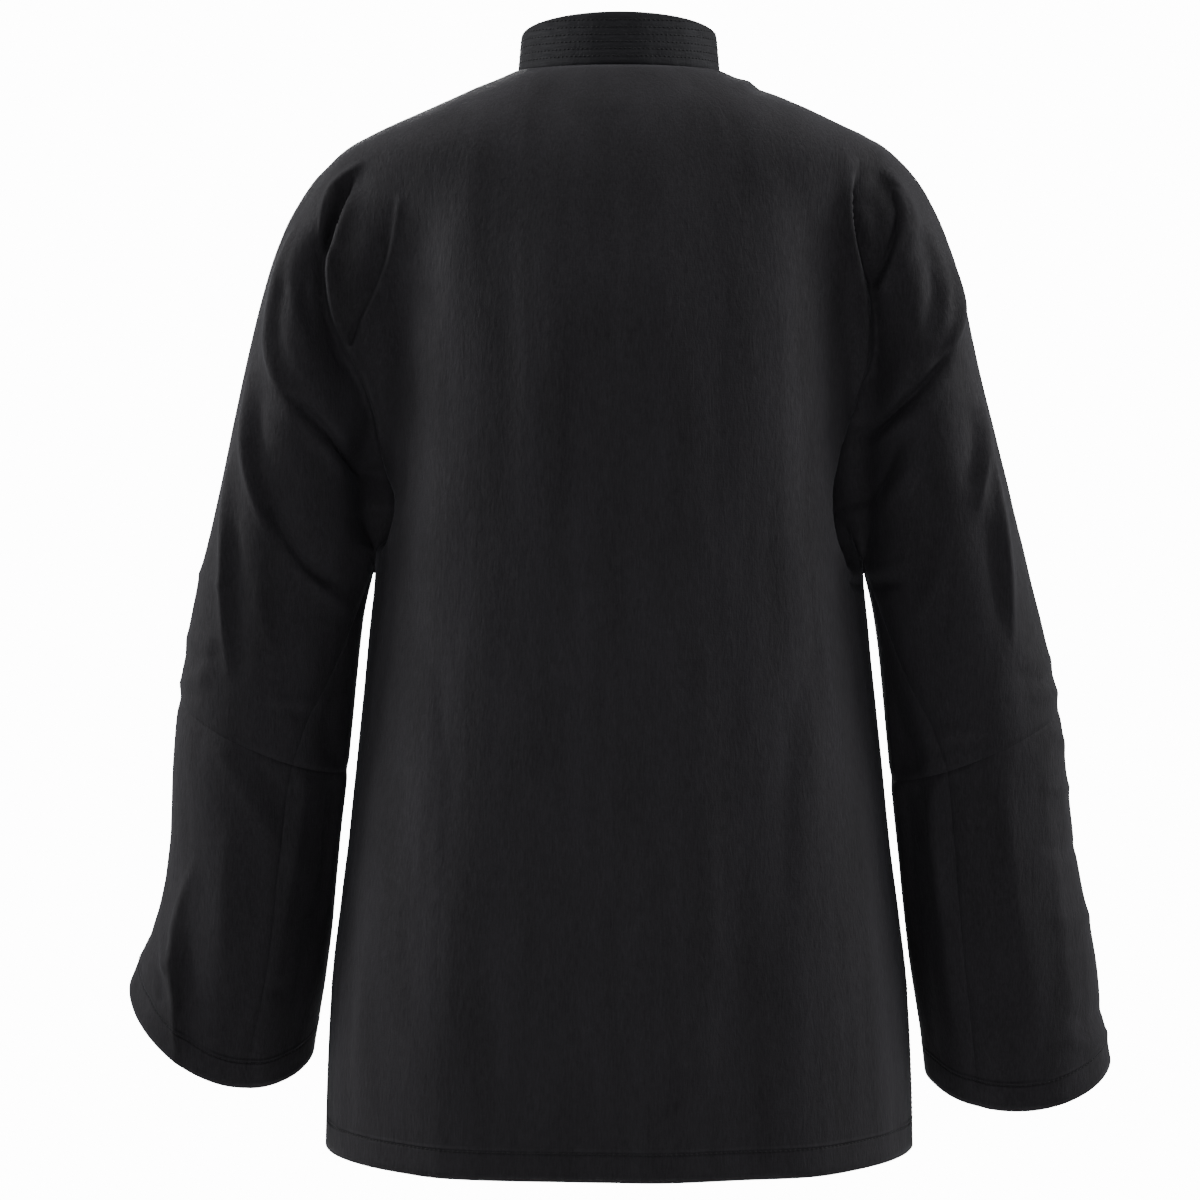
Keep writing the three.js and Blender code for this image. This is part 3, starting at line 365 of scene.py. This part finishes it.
def black_cloth_material(name, slub_threads, ground, light):
    """Black linen and cotton, yarn-dyed and washed, so it is matt and crinkled with uneven thick threads.
    The eye gets a deep black with cool grey on raised threads, a faint fuzz at the edges and fine
    streaks. slub_threads says how many threads a thick stretch of thread is across and up the piece."""
    material, tree, shader = new_material(name)
    place = add_node(tree, "ShaderNodeTexCoord").outputs["Object"]
    thread = 0.9 * MM  # real threads are 0.45 mm apart, drawn coarser so that they show
    slub_across, slub_along = (count * thread for count in slub_threads)
    slubs = streaks(tree, place, slub_across, slub_along, 4.0, 0.3)
    grain = streaks(tree, place, 1.3 * thread, 1.5 * thread)
    weft = streaks(tree, place, 9 * MM, thread, 2.0)
    crinkle = streaks(tree, place, 5 * MM, 16 * MM, 4.0, 1.2)
    faded = streaks(tree, place, 22 * MM, 120 * MM)
    weave = add_node(tree, "ShaderNodeMix", {0: 0.55, 2: slubs, 3: grain}).outputs[0]
    mixed = add_node(tree, "ShaderNodeMix", {0: 0.4, 2: weave, 3: faded}).outputs[0]
    shades = add_node(tree, "ShaderNodeValToRGB", {0: mixed})
    shades.color_ramp.elements[0].position = 0.3
    shades.color_ramp.elements[0].color = linear(ground)
    shades.color_ramp.elements[1].position = 0.7
    shades.color_ramp.elements[1].color = linear(light)
    tree.links.new(shades.outputs[0], shader.inputs["Base Color"])
    rough = add_node(
        tree,
        "ShaderNodeMapRange",
        {"Value": slubs, "From Min": 0.3, "From Max": 0.7, "To Min": 0.94, "To Max": 0.78},
    )
    tree.links.new(rough.outputs[0], shader.inputs["Roughness"])
    shader.inputs["IOR"].default_value = 1.5
    shader.inputs["Specular IOR Level"].default_value = 0.12
    shader.inputs["Sheen Weight"].default_value = 0.045
    shader.inputs["Sheen Roughness"].default_value = 0.35
    shader.inputs["Sheen Tint"].default_value = linear("#9a9ca6")
    heights = [(crinkle, 0.45 * MM), (slubs, 0.1 * MM), (grain, 0.16 * MM), (weft, 0.08 * MM)]
    normal = None
    for height, deep in heights:
        bump = add_node(tree, "ShaderNodeBump", {"Height": height, "Distance": deep, "Strength": 0.9})
        if normal:
            tree.links.new(normal, bump.inputs["Normal"])
        normal = bump.outputs[0]
    # The turned hem is a layer thicker, with a furrow under its row of stitches
    hem = add_node(tree, "ShaderNodeAttribute", attribute_name="hem_distance").outputs["Fac"]
    hem_end = {"From Min": HEM_WIDTH - 1 * MM, "From Max": HEM_WIDTH + 2 * MM}
    step = add_node(
        tree,
        "ShaderNodeMapRange",
        {"Value": hem, **hem_end, "To Min": 1.0, "To Max": 0.0},
        interpolation_type="SMOOTHSTEP",
    ).outputs[0]
    aside = add_node(tree, "ShaderNodeMath", {0: hem, 1: HEM_ROW}, operation="SUBTRACT").outputs[0]
    away = add_node(tree, "ShaderNodeMath", {0: aside}, operation="ABSOLUTE").outputs[0]
    furrow = add_node(
        tree,
        "ShaderNodeMapRange",
        {"Value": away, "From Min": 0.0, "From Max": 1.6 * MM, "To Min": -0.9, "To Max": 0.0},
        interpolation_type="SMOOTHSTEP",
    ).outputs[0]
    both = add_node(tree, "ShaderNodeMath", {0: step, 1: furrow}, operation="ADD").outputs[0]
    hem_bump = add_node(
        tree,
        "ShaderNodeBump",
        {"Height": both, "Distance": 0.9 * MM, "Strength": 1.0, "Normal": normal},
    )
    tree.links.new(hem_bump.outputs[0], shader.inputs["Normal"])
    return material


def rolled_cord_material():
    """Cord rolled from a bias strip and slip-stitched, so the weave runs at a slant and it is a little
    shinier than the cloth."""
    material, tree, shader = new_material("rolled_bias_cotton_cord")
    place = add_node(tree, "ShaderNodeTexCoord").outputs["Object"]
    slant = add_node(
        tree,
        "ShaderNodeMapping",
        {"Vector": place, "Rotation": (0, math.radians(45), 0), "Scale": (1 / MM, 1 / MM, 1 / (4 * MM))},
    )
    weave = add_node(tree, "ShaderNodeTexNoise", {"Vector": slant.outputs[0], "Scale": 1.0, "Detail": 3.0})
    shades = add_node(tree, "ShaderNodeValToRGB", {0: weave.outputs[0]})
    shades.color_ramp.elements[0].position = 0.3
    shades.color_ramp.elements[0].color = linear("#0d0c0f")
    shades.color_ramp.elements[1].position = 0.7
    shades.color_ramp.elements[1].color = linear("#1c1b1f")
    tree.links.new(shades.outputs[0], shader.inputs["Base Color"])
    shader.inputs["Roughness"].default_value = 0.72
    shader.inputs["Specular IOR Level"].default_value = 0.2
    shader.inputs["Sheen Weight"].default_value = 0.05
    bump = add_node(
        tree,
        "ShaderNodeBump",
        {"Height": weave.outputs[0], "Distance": 0.3 * MM, "Strength": 0.8},
    )
    tree.links.new(bump.outputs[0], shader.inputs["Normal"])
    return material


def thread_material():
    """Black polyester sewing thread, twisted and lightly glazed, so each stitch has a small bright top."""
    material, tree, shader = new_material("twisted_polyester_thread")
    place = add_node(tree, "ShaderNodeTexCoord").outputs["Object"]
    twist = add_node(tree, "ShaderNodeTexNoise", {"Vector": place, "Scale": 1 / (0.8 * MM), "Detail": 1.0})
    shades = add_node(tree, "ShaderNodeValToRGB", {0: twist.outputs[0]})
    shades.color_ramp.elements[0].color = linear("#060607")
    shades.color_ramp.elements[1].color = linear("#101012")
    tree.links.new(shades.outputs[0], shader.inputs["Base Color"])
    shader.inputs["Roughness"].default_value = 0.7
    shader.inputs["Specular IOR Level"].default_value = 0.15
    return material


def backdrop_material():
    """White seamless paper, matt, lit so that it nearly vanishes."""
    material, tree, shader = new_material("matt_white_paper")
    place = add_node(tree, "ShaderNodeTexCoord").outputs["Object"]
    grain = add_node(tree, "ShaderNodeTexNoise", {"Vector": place, "Scale": 3.0, "Detail": 2.0})
    shades = add_node(tree, "ShaderNodeValToRGB", {0: grain.outputs[0]})
    shades.color_ramp.elements[0].color = linear("#f4f4f4")
    shades.color_ramp.elements[1].color = linear("#fafafa")
    tree.links.new(shades.outputs[0], shader.inputs["Base Color"])
    shader.inputs["Roughness"].default_value = 0.9
    shader.inputs["Emission Color"].default_value = (1, 1, 1, 1)
    shader.inputs["Emission Strength"].default_value = PAPER_GLOW
    return material


BODY_FINISH = black_cloth_material("crinkled_linen_cotton", (1.1, 8.0), "#0d0c0e", "#1a191c")
COLLAR_FINISH = black_cloth_material("stiffened_linen_cotton", (8.0, 0.9), "#0e0e10", "#18181b")
CORD_FINISH = rolled_cord_material()
THREAD_FINISH = thread_material()


def mesh_from(shape, name):
    """A mesh made of a bmesh, which is used up."""
    mesh = bpy.data.meshes.new(name)
    shape.to_mesh(mesh)
    shape.free()
    return mesh


def in_scene(name, data):
    """A new object in the scene, for a mesh, a lamp or a camera."""
    made = bpy.data.objects.new(name, data)
    bpy.context.scene.collection.objects.link(made)
    return made


def new_piece(shape, name, material, nodes=()):
    """A piece of the shirt made of a bmesh, which is used up. nodes are the solids that it replaces."""
    mesh = mesh_from(shape, name)
    piece = in_scene(name, mesh)
    mesh.materials.append(material)
    mesh.shade_smooth()
    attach(piece, "root")
    if nodes:
        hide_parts(*nodes)
    return piece


def shell_from_nodes(names):
    """A bmesh of the solids' outer faces alone, in quads: merged copies without rims and inner faces."""
    shell = bmesh.new()
    for name in names:
        one = bmesh.new()
        one.from_mesh(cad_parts[name].data)
        bmesh.ops.remove_doubles(one, verts=one.verts, dist=WELD)
        wall = SOLID_WALLS.get(name, BODY_WALL)
        across = {e for e in one.edges if abs(e.calc_length() - wall) < WALL_MATCH}
        rim = [f for f in one.faces if any(e in across for e in f.edges)]
        bmesh.ops.delete(one, geom=rim, context="FACES")
        keep = outward_faces(one)
        bmesh.ops.delete(one, geom=[f for f in one.faces if f not in keep], context="FACES")
        mesh = mesh_from(one, "one_shell")
        shell.from_mesh(mesh)
        bpy.data.meshes.remove(mesh)
    if len(names) > 1:
        # Halves of one cut piece meet at its middle
        middle = [v for v in shell.verts if v.is_boundary and abs(v.co.x) < HALVES_APART]
        bmesh.ops.remove_doubles(shell, verts=middle, dist=HALVES_APART)
    bmesh.ops.join_triangles(
        shell,
        faces=shell.faces,
        angle_face_threshold=math.pi,
        angle_shape_threshold=math.pi,
    )
    return shell


def outward_faces(shell):
    """The connected sheet whose faces look away from its own middle."""
    best, chosen = -math.inf, set()
    left = set(shell.faces)
    while left:
        sheet, waiting = set(), [left.pop()]
        while waiting:
            face = waiting.pop()
            sheet.add(face)
            for edge in face.edges:
                for near in edge.link_faces:
                    if near in left:
                        left.discard(near)
                        waiting.append(near)
        middle = sum((f.calc_center_median() for f in sheet), Vector()) / len(sheet)
        outward = sum(f.calc_area() * f.normal.dot(f.calc_center_median() - middle) for f in sheet)
        if outward > best:
            best, chosen = outward, sheet
    return chosen


def cut_long_rings(shell):
    """Cuts each ring of faces whose cells are long once more, so that cells stay near square."""
    shell.edges.index_update()
    seen = set()
    chosen = []
    for start in shell.edges:
        if start in seen:
            continue
        ring, waiting = {start}, [start]
        while waiting:
            edge = waiting.pop()
            for face in edge.link_faces:
                if len(face.verts) != 4:
                    continue
                sides = list(face.edges)
                opposite = sides[(sides.index(edge) + 2) % 4]
                if opposite not in ring:
                    ring.add(opposite)
                    waiting.append(opposite)
        seen |= ring
        if sum(e.calc_length() for e in ring) / len(ring) > LONG_CELL:
            chosen.extend(sorted(ring, key=lambda edge: edge.index))
    bmesh.ops.subdivide_edges(shell, edges=chosen, cuts=1, use_grid_fill=True)


def smoothed(shell, name, levels):
    """The shell on a subdivision surface, as a bmesh of its own."""
    mesh = mesh_from(shell, name)
    base = in_scene(name, mesh)
    modifier = base.modifiers.new("round", "SUBSURF")
    modifier.levels = modifier.render_levels = levels
    modifier.boundary_smooth = "PRESERVE_CORNERS"
    ready = base.evaluated_get(bpy.context.evaluated_depsgraph_get())
    fine = bmesh.new()
    fine.from_mesh(ready.to_mesh())
    bpy.data.objects.remove(base)
    bpy.data.meshes.remove(mesh)
    fine.normal_update()
    return fine


def smoothstep(value, low, high):
    """From 0 at low to 1 at high, which may be the smaller of the two."""
    t = min(max((value - low) / (high - low), 0), 1)
    return t * t * (3 - 2 * t)


def from_share(share, t):
    """From a share, where t is 0, to 1, where t is 1."""
    return share + (1 - share) * t


def distance_to(points):
    """A function that gives the distance from a place to the nearest of some points."""
    tree = kdtree.KDTree(max(len(points), 1))
    for i, point in enumerate(points):
        tree.insert(point, i)
    tree.balance()
    return lambda place: tree.find(place)[2] if points else FAR


def points_along(edges):
    """Places along some edges, from end to end of each."""
    found = []
    for edge in edges:
        a, b = (v.co for v in edge.verts)
        found.extend(a.lerp(b, i / EDGE_STEPS) for i in range(EDGE_STEPS + 1))
    return found


def rim_edges(sheet, is_hem):
    """A sheet's open edges: those that a test says are hems, and its seams."""
    hems, seams = [], []
    for edge in sheet.edges:
        if edge.is_boundary:
            a, b = (v.co for v in edge.verts)
            kind = hems if is_hem((a + b) / 2, a - b) else seams
            kind.append(edge)
    return hems, seams


def curve_place(before, a, b, after, t):
    """A number on the smooth curve from a to b, at t from 0 to 1, by its neighbours on both sides."""
    slope = (b - before) * t
    bend = (2 * before - 5 * a + 4 * b - after) * t * t
    twist = (3 * a - before - 3 * b + after) * t**3
    return 0.5 * (2 * a + slope + bend + twist)


def bent_line(points, steps=5):
    """A smooth line through points of the elevation."""
    line = []
    last = len(points) - 1
    for i in range(last):
        near = [points[min(max(k, 0), last)] for k in (i - 1, i, i + 1, i + 2)]
        for j in range(steps):
            line.append(tuple(curve_place(*places, j / steps) for places in zip(*near)))
    return line + [points[-1]]


def box_round(points, margin):
    xs, zs = [p[0] for p in points], [p[1] for p in points]
    return min(xs) - margin, max(xs) + margin, min(zs) - margin, max(zs) + margin


def fold_lines(columns, rows, margin):
    """The rows of a table as dicts, each with its line bent smooth, in metres, and a box round it."""
    folds = []
    for row in rows:
        fold = dict(zip(columns, row))
        fold["points"] = bent_line([(x * MM * fold["side"], z * MM) for x, z in fold["line"]])
        fold["box"] = box_round(fold["points"], margin * fold["reach"] * MM)
        folds.append(fold)
    return folds


OVERHANG_LINES = fold_lines(OVERHANG_COLUMNS, OVERHANGS, OVERHANG_MARGIN)
CREASE_LINES = fold_lines(CREASE_COLUMNS, CREASES, CREASE_MARGIN)
ROUND_LINES = fold_lines(ROUND_COLUMNS, ROUND_CREASES, CREASE_MARGIN)


def folds_at(folds, face, x, z):
    """The folds of one face that may be felt at a place of the elevation, and those that are on both."""
    for fold in folds:
        low_x, high_x, low_z, high_z = fold["box"]
        if fold.get("face", face) == face and low_x < x < high_x and low_z < z < high_z:
            yield fold


def walk(points, x, z):
    """How far a place is from a bent line, the share of the line's length there, and the side it is on."""
    nearest, along, beside = FAR, 0.0, 1
    for i in range(len(points) - 1):
        (ax, az), (bx, bz) = points[i], points[i + 1]
        dx, dz = bx - ax, bz - az
        t = min(max(((x - ax) * dx + (z - az) * dz) / (dx * dx + dz * dz), 0), 1)
        gap = math.hypot(x - ax - t * dx, z - az - t * dz)
        if gap < nearest:
            nearest, along = gap, (i + t) / (len(points) - 1)
            beside = 1 if dx * (z - az) - dz * (x - ax) > 0 else -1
    return nearest, along, beside


def drop_at(drops, along):
    """The drop at a share of an overhang's length, between its three drops."""
    start, middle, end = drops
    to_middle, to_end = (smoothstep(along, *span) for span in DROP_SPANS)
    return start + (middle - start) * to_middle + (end - middle) * to_end


def overhang_lift(face, x, z):
    """How far the armholes' overhangs raise or lower the cloth at a place, in metres."""
    total = 0.0
    for overhang in folds_at(OVERHANG_LINES, face, x, z):
        gap, along, beside = walk(overhang["points"], x, z)
        fade = smoothstep(along, 0, OVERHANG_RISES) * smoothstep(along, 1, OVERHANG_FALLS)
        drop = drop_at(overhang["drops"], along)
        steps = gap / (overhang["reach"] * (NARROWEST + drop / DROP_PER_REACH) * MM)
        if beside * overhang["side"] > 0:
            sunk = smoothstep(steps, 0, 1) * math.exp(-max(steps - 1, 0) / OVERHANG_RECOVERY)
            rise = overhang["lift"] * (1 - smoothstep(steps, 0, OVERHANG_LIP))
            total += fade * (rise - drop * sunk) * MM
        else:
            total += fade * overhang["lift"] * MM * math.exp(-((steps / OVERHANG_INSIDE) ** 2))
    return total


def crease_lift(creases, face, x, z):
    """How far creases raise the cloth at a place of the elevation, in metres."""
    total = 0.0
    for crease in folds_at(creases, face, x, z):
        nearest, along, _ = walk(crease["points"], x, z)
        fade = math.sin(math.pi * min(max(along, CREASE_END), 1 - CREASE_END)) ** CREASE_FULLNESS
        # The crest is narrower than the slopes, as on real creases
        steps = nearest / (crease["reach"] * MM)
        total += crease["lift"] * MM * fade * math.exp(CREST - math.hypot(steps, CREST) * CREASE_FALL)
    return total


def uneven(place, across, along, shift=(0, 0)):
    """Smooth noise from -1 to 1 whose grains are across wide and along long, in metres."""
    x, y, z = place
    return noise.noise(Vector((x / across + shift[0], y / across + shift[1], z / along)))


def crinkle_lift(place):
    """Small upright crinkles that washed linen keeps, uneven in depth from place to place."""
    wide_depth, *wide_size = WIDE_CRINKLE
    fine_depth, *fine_size = FINE_CRINKLE
    wide = wide_depth * uneven(place, *wide_size)
    fine = fine_depth * uneven(place, *fine_size, shift=(7, 0))
    patch = uneven(place, CRINKLE_PATCH, CRINKLE_PATCH, shift=(0, 3))
    return (wide + fine) * (CRINKLE_SHARE + CRINKLE_UNEVEN * patch)


def cloth_lift(place, normal, seam_gap, hem_gap):
    """How far a place of the body or a sleeve is moved outwards by folds, crinkles and seams, in metres."""
    face = BACK if normal.y >= 0 else FRONT
    folds = crease_lift(CREASE_LINES, face, place.x, place.z) + overhang_lift(face, place.x, place.z)
    folds *= smoothstep(abs(normal.y), *FACING)
    folds += crease_lift(ROUND_LINES, face, place.x, place.z)
    calm = smoothstep(seam_gap, 0, SEAM_CALM)
    crinkles = crinkle_lift(place) * calm * from_share(HEM_CRINKLES, smoothstep(hem_gap, 0, HEM_CALM))
    at_neck = smoothstep(math.hypot(place.x, place.y), NECK_FAR, NECK_NEAR) if place.z > NECK_LOW else 0
    pull = SEAM_PULL * math.exp(-((seam_gap / SEAM_REACH) ** 2)) * (1 - NECK_EASE * at_neck)
    return folds * from_share(SEAM_FOLDS, calm) + crinkles - pull


def refine_near_folds(fine):
    """Halves the faces near the sharp folds, so that their crests stay smooth."""
    spots = {BACK: [], FRONT: []}
    sharp = [f for f in CREASE_LINES if abs(f["lift"]) >= SHARP_LIFT and f["reach"] <= SHARP_REACH]
    for fold in OVERHANG_LINES + sharp:
        spots[fold["face"]] += [Vector((x, 0, z)) for x, z in fold["points"]]
    near = {face: distance_to(places) for face, places in spots.items()}
    chosen = []
    for edge in fine.edges:
        middle = (edge.verts[0].co + edge.verts[1].co) / 2
        face = BACK if edge.verts[0].normal.y >= 0 else FRONT
        if near[face](Vector((middle.x, 0, middle.z))) < FINE_REACH:
            chosen.append(edge)
    bmesh.ops.subdivide_edges(fine, edges=chosen, cuts=1, use_grid_fill=True, smooth=0.0)
    fine.normal_update()


def turn_in_allowance(fine, is_hem):
    """Turns the cloth in along its seams, a little under the next piece."""
    fine.normal_update()
    _, seams = rim_edges(fine, is_hem)
    outwards = {}
    for edge in seams:
        middle = edge.link_faces[0].calc_center_median()
        a, b = (v.co for v in edge.verts)
        run = (b - a).normalized()
        out = (a + b) / 2 - middle
        out -= run * out.dot(run)
        for vertex in edge.verts:
            outwards.setdefault(vertex.index, Vector())
            outwards[vertex.index] += out.normalized()
    starts = {}
    for edge in seams:
        for vertex in edge.verts:
            starts[tuple(vertex.co)] = outwards[vertex.index].normalized(), vertex.normal.copy()
    for item in bmesh.ops.extrude_edge_only(fine, edges=seams)["geom"]:
        if isinstance(item, bmesh.types.BMVert):
            out, normal = starts[tuple(item.co)]
            item.co += out * ALLOWANCE - normal * ALLOWANCE_DROP


def dress(name, nodes, is_hem):
    """A sheet of cloth from its solids: a smooth shell with folds, crinkles and seams that dip."""
    shell = shell_from_nodes(nodes)
    cut_long_rings(shell)
    fine = smoothed(shell, name, BODY_LEVELS)
    refine_near_folds(fine)
    fine.verts.index_update()
    hems, seams = rim_edges(fine, is_hem)
    to_hem, to_seam = distance_to(points_along(hems)), distance_to(points_along(seams))
    hem_distance = fine.verts.layers.float.new("hem_distance")
    moved = []
    for vertex in fine.verts:
        seam_gap, hem_gap = to_seam(vertex.co), to_hem(vertex.co)
        vertex[hem_distance] = hem_gap
        lift = cloth_lift(vertex.co, vertex.normal, seam_gap, hem_gap)
        moved.append(vertex.co + vertex.normal * lift)
    for vertex, place in zip(fine.verts, moved):
        vertex.co = place
    turn_in_allowance(fine, is_hem)
    return fine


def cloth_piece(fine, name, nodes, thickness, finish):
    """A sheet as a piece with a live thickness, in place of its solids."""
    fine.normal_update()
    piece = new_piece(fine, name + "_cloth", finish, nodes)
    wall = piece.modifiers.new("wall", "SOLIDIFY")
    wall.thickness = thickness
    wall.offset = -1
    return piece


def level_lines(fine, layer_name, level):
    """Lines on a sheet where an attribute has one value, as chains of (place, normal)."""
    fine.edges.index_update()
    layer = fine.verts.layers.float[layer_name]
    spots, links = {}, {}
    for face in fine.faces:
        crossed = []
        for edge in face.edges:
            a, b = edge.verts
            if (a[layer] - level) * (b[layer] - level) < 0:
                t = (level - a[layer]) / (b[layer] - a[layer])
                spots[edge.index] = (a.co.lerp(b.co, t), a.normal.lerp(b.normal, t).normalized())
                crossed.append(edge.index)
        if len(crossed) == 2:
            for here, there in (crossed, crossed[::-1]):
                links.setdefault(here, []).append(there)
    chains = []
    while links:
        ends = [k for k, near in links.items() if len(near) == 1]
        here = ends[0] if ends else next(iter(links))
        chain = [spots[here]]
        while here in links:
            nexts = [k for k in links.pop(here) if k in links]
            if not nexts:
                break
            here = nexts[0]
            chain.append(spots[here])
        if len(chain) > SCRAP:
            chains.append(chain)
    return chains


def sew(name, chains):
    """Rows of separate stitches along chains, each a short thread half sunk in the cloth."""
    rows = bmesh.new()
    size = Matrix.Diagonal((STITCH / 2, THREAD, THREAD, 1))
    for chain in chains:
        run = 0.0
        for (a, a_normal), (b, _) in zip(chain, chain[1:]):
            length = (b - a).length
            forward = (b - a).normalized()
            up = (a_normal - forward * a_normal.dot(forward)).normalized()
            turn = Matrix((forward, up.cross(forward), up)).transposed().to_4x4()
            while run < length:
                seat = Matrix.Translation(a.lerp(b, run / length) + up * THREAD * THREAD_RISE)
                bmesh.ops.create_icosphere(rows, subdivisions=1, radius=1.0, matrix=seat @ turn @ size)
                run += STITCH_PITCH
            run -= length
    new_piece(rows, name, THREAD_FINISH)


def body_hem(middle, run):
    """Hem and vents: the level lower edge, and the side edges below the top of the vent."""
    level = abs(run.z) < LEVEL_RISE * run.length
    return (middle.z < HEM_Z + HEM_RISE and level) or (middle.z < VENT_TOP and abs(middle.x) > SIDE_X)


def cuff_edge(middle, run):
    return middle.z < CUFF_TOP and abs(run.z) < LEVEL_RISE * run.length


PANELS = {
    "back": (["back_left", "back_right"], body_hem),
    "front_left": (["front_left"], body_hem),
    "front_right": (["front_right"], body_hem),
    "lower_sleeve_left": (["lower_sleeve_left"], cuff_edge),
    "lower_sleeve_right": (["lower_sleeve_right"], cuff_edge),
}
hem_rows = []
for panel, (nodes, is_hem) in PANELS.items():
    cloth = dress(panel, nodes, is_hem)
    hem_rows += level_lines(cloth, "hem_distance", HEM_ROW)
    cloth_piece(cloth, panel, nodes, CLOTH, BODY_FINISH)


def collar_rim(sheet, lower):
    """The collar's lower or upper open edges, told apart by which way the sheet goes from them."""
    found = []
    for edge in sheet.edges:
        if edge.is_boundary:
            a, b = (v.co for v in edge.verts)
            inland = edge.link_faces[0].calc_center_median() - (a + b) / 2
            if abs((b - a).normalized().z) < UPRIGHT_RISE and (inland.z > 0) == lower:
                found.append(edge)
    return found


def dress_collar():
    """The collar's sheet: cloth puffs a little between its rows of topstitching."""
    fine = smoothed(shell_from_nodes(["collar"]), "collar", COLLAR_LEVELS)
    base = collar_rim(fine, lower=True)
    to_base = distance_to(points_along(base))
    to_top = distance_to(points_along(collar_rim(fine, lower=False)))
    for item in bmesh.ops.extrude_edge_only(fine, edges=base)["geom"]:
        if isinstance(item, bmesh.types.BMVert):
            flat = Vector((item.co.x, item.co.y, 0)).normalized()
            item.co -= flat * COLLAR_FOOT * FOOT_SLANT + Vector((0, 0, COLLAR_FOOT))
    fine.normal_update()
    row_height = fine.verts.layers.float.new("row_height")
    hem_distance = fine.verts.layers.float.new("hem_distance")
    moved = []
    for vertex in fine.verts:
        vertex[row_height] = to_base(vertex.co)
        vertex[hem_distance] = FAR
        puff = abs(math.sin(math.pi * vertex[row_height] / COLLAR_ROW)) ** PUFF_FULLNESS
        puff *= COLLAR_PUFF * smoothstep(to_top(vertex.co), 0, TOP_FADE)
        puff *= PUFF_SHARE + PUFF_UNEVEN * noise.noise(vertex.co / PUFF_PATCH)
        lift = puff + COLLAR_CRINKLES * crinkle_lift(vertex.co)
        moved.append(vertex.co + vertex.normal * lift)
    for vertex, place in zip(fine.verts, moved):
        vertex.co = place
    return fine


collar = dress_collar()
collar_height = max(v[collar.verts.layers.float["row_height"]] for v in collar.verts)
collar_rows = []
for k in range(1, int(collar_height / COLLAR_ROW) + 1):
    if k * COLLAR_ROW < collar_height - TOP_ROW:
        collar_rows += level_lines(collar, "row_height", k * COLLAR_ROW)
cloth_piece(collar, "collar", ["collar"], COLLAR_CLOTH, COLLAR_FINISH)

sew("hem_stitches", hem_rows)
sew("collar_stitches", collar_rows)


def rounded_cord(name):
    """A closure's cord: its solid's merged copy on a subdivision surface."""
    cord = bmesh.new()
    cord.from_mesh(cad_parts[name].data)
    bmesh.ops.remove_doubles(cord, verts=cord.verts, dist=WELD)
    bmesh.ops.join_triangles(
        cord,
        faces=cord.faces,
        angle_face_threshold=math.radians(CORD_CORNER),
        angle_shape_threshold=math.pi,
    )
    piece = new_piece(cord, name + "_cord", CORD_FINISH, [name])
    rounding = piece.modifiers.new("round", "SUBSURF")
    rounding.levels = rounding.render_levels = CORD_LEVELS


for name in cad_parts:
    if name.startswith("frog_"):
        rounded_cord(name)

# A floor of white paper, and a camera level with the shirt's middle, behind it
paper = bmesh.new()
bmesh.ops.create_circle(
    paper,
    cap_ends=True,
    segments=96,
    radius=FLOOR_RADIUS,
    matrix=Matrix.Translation((0, 0, FLOOR_Z)),
)
floor = in_scene("paper_floor", mesh_from(paper, "paper_floor"))
floor.data.materials.append(backdrop_material())

camera_data = bpy.data.cameras.new("camera")
camera_data.sensor_width = SENSOR
camera_data.lens = DISTANCE / MM * SENSOR / (MM_PER_PX * PHOTO_SIDE)
camera = in_scene("camera", camera_data)
camera.location = ((MIDDLE_PX - PHOTO_SIDE / 2) * MM_PER_PX * MM, DISTANCE, EYE_HEIGHT)
camera.rotation_euler = (math.radians(90), 0, math.radians(180))
bpy.context.scene.camera = camera

# Soft boxes: low and high ones at both sides for the folds, a narrow fill behind and one in front
LIGHTS = [
    # name, place, size, power, spread in degrees
    ("left_rim_softbox", (2.0, -0.25, 0.3), 0.5, 54, 180),
    ("right_rim_softbox", (-2.0, -0.25, 0.3), 0.5, 48, 180),
    ("left_key_softbox", (1.5, 0.2, 1.8), 0.6, 86, 180),
    ("right_key_softbox", (-1.5, 0.2, 1.8), 0.6, 88, 180),
    ("gridded_fill_softbox", (0.1, 1.95, -0.33), 0.7, 2.6, 50),
    ("front_softbox", (0.4, -3.0, 1.2), 1.4, 90, 180),
]
for name, place, size, power, spread in LIGHTS:
    data = bpy.data.lights.new(name, "AREA")
    data.shape = "SQUARE"
    data.size = size
    data.energy = power
    data.spread = math.radians(spread)
    lamp = in_scene(name, data)
    lamp.location = place
    lamp.rotation_euler = (AIM - Vector(place)).to_track_quat("-Z", "Y").to_euler()

# The world is bright behind the shirt, and dim where it lights it
world = bpy.data.worlds.new("studio")
world.use_nodes = True
world_background = world.node_tree.nodes["Background"]
seen = add_node(world.node_tree, "ShaderNodeLightPath").outputs["Is Camera Ray"]
strength = add_node(
    world.node_tree,
    "ShaderNodeMapRange",
    {"Value": seen, "To Min": ROOM_LIGHT, "To Max": BACKDROP_LIGHT},
)
world_background.inputs[0].default_value = (1, 1, 1, 1)
world.node_tree.links.new(strength.outputs[0], world_background.inputs[1])
bpy.context.scene.world = world
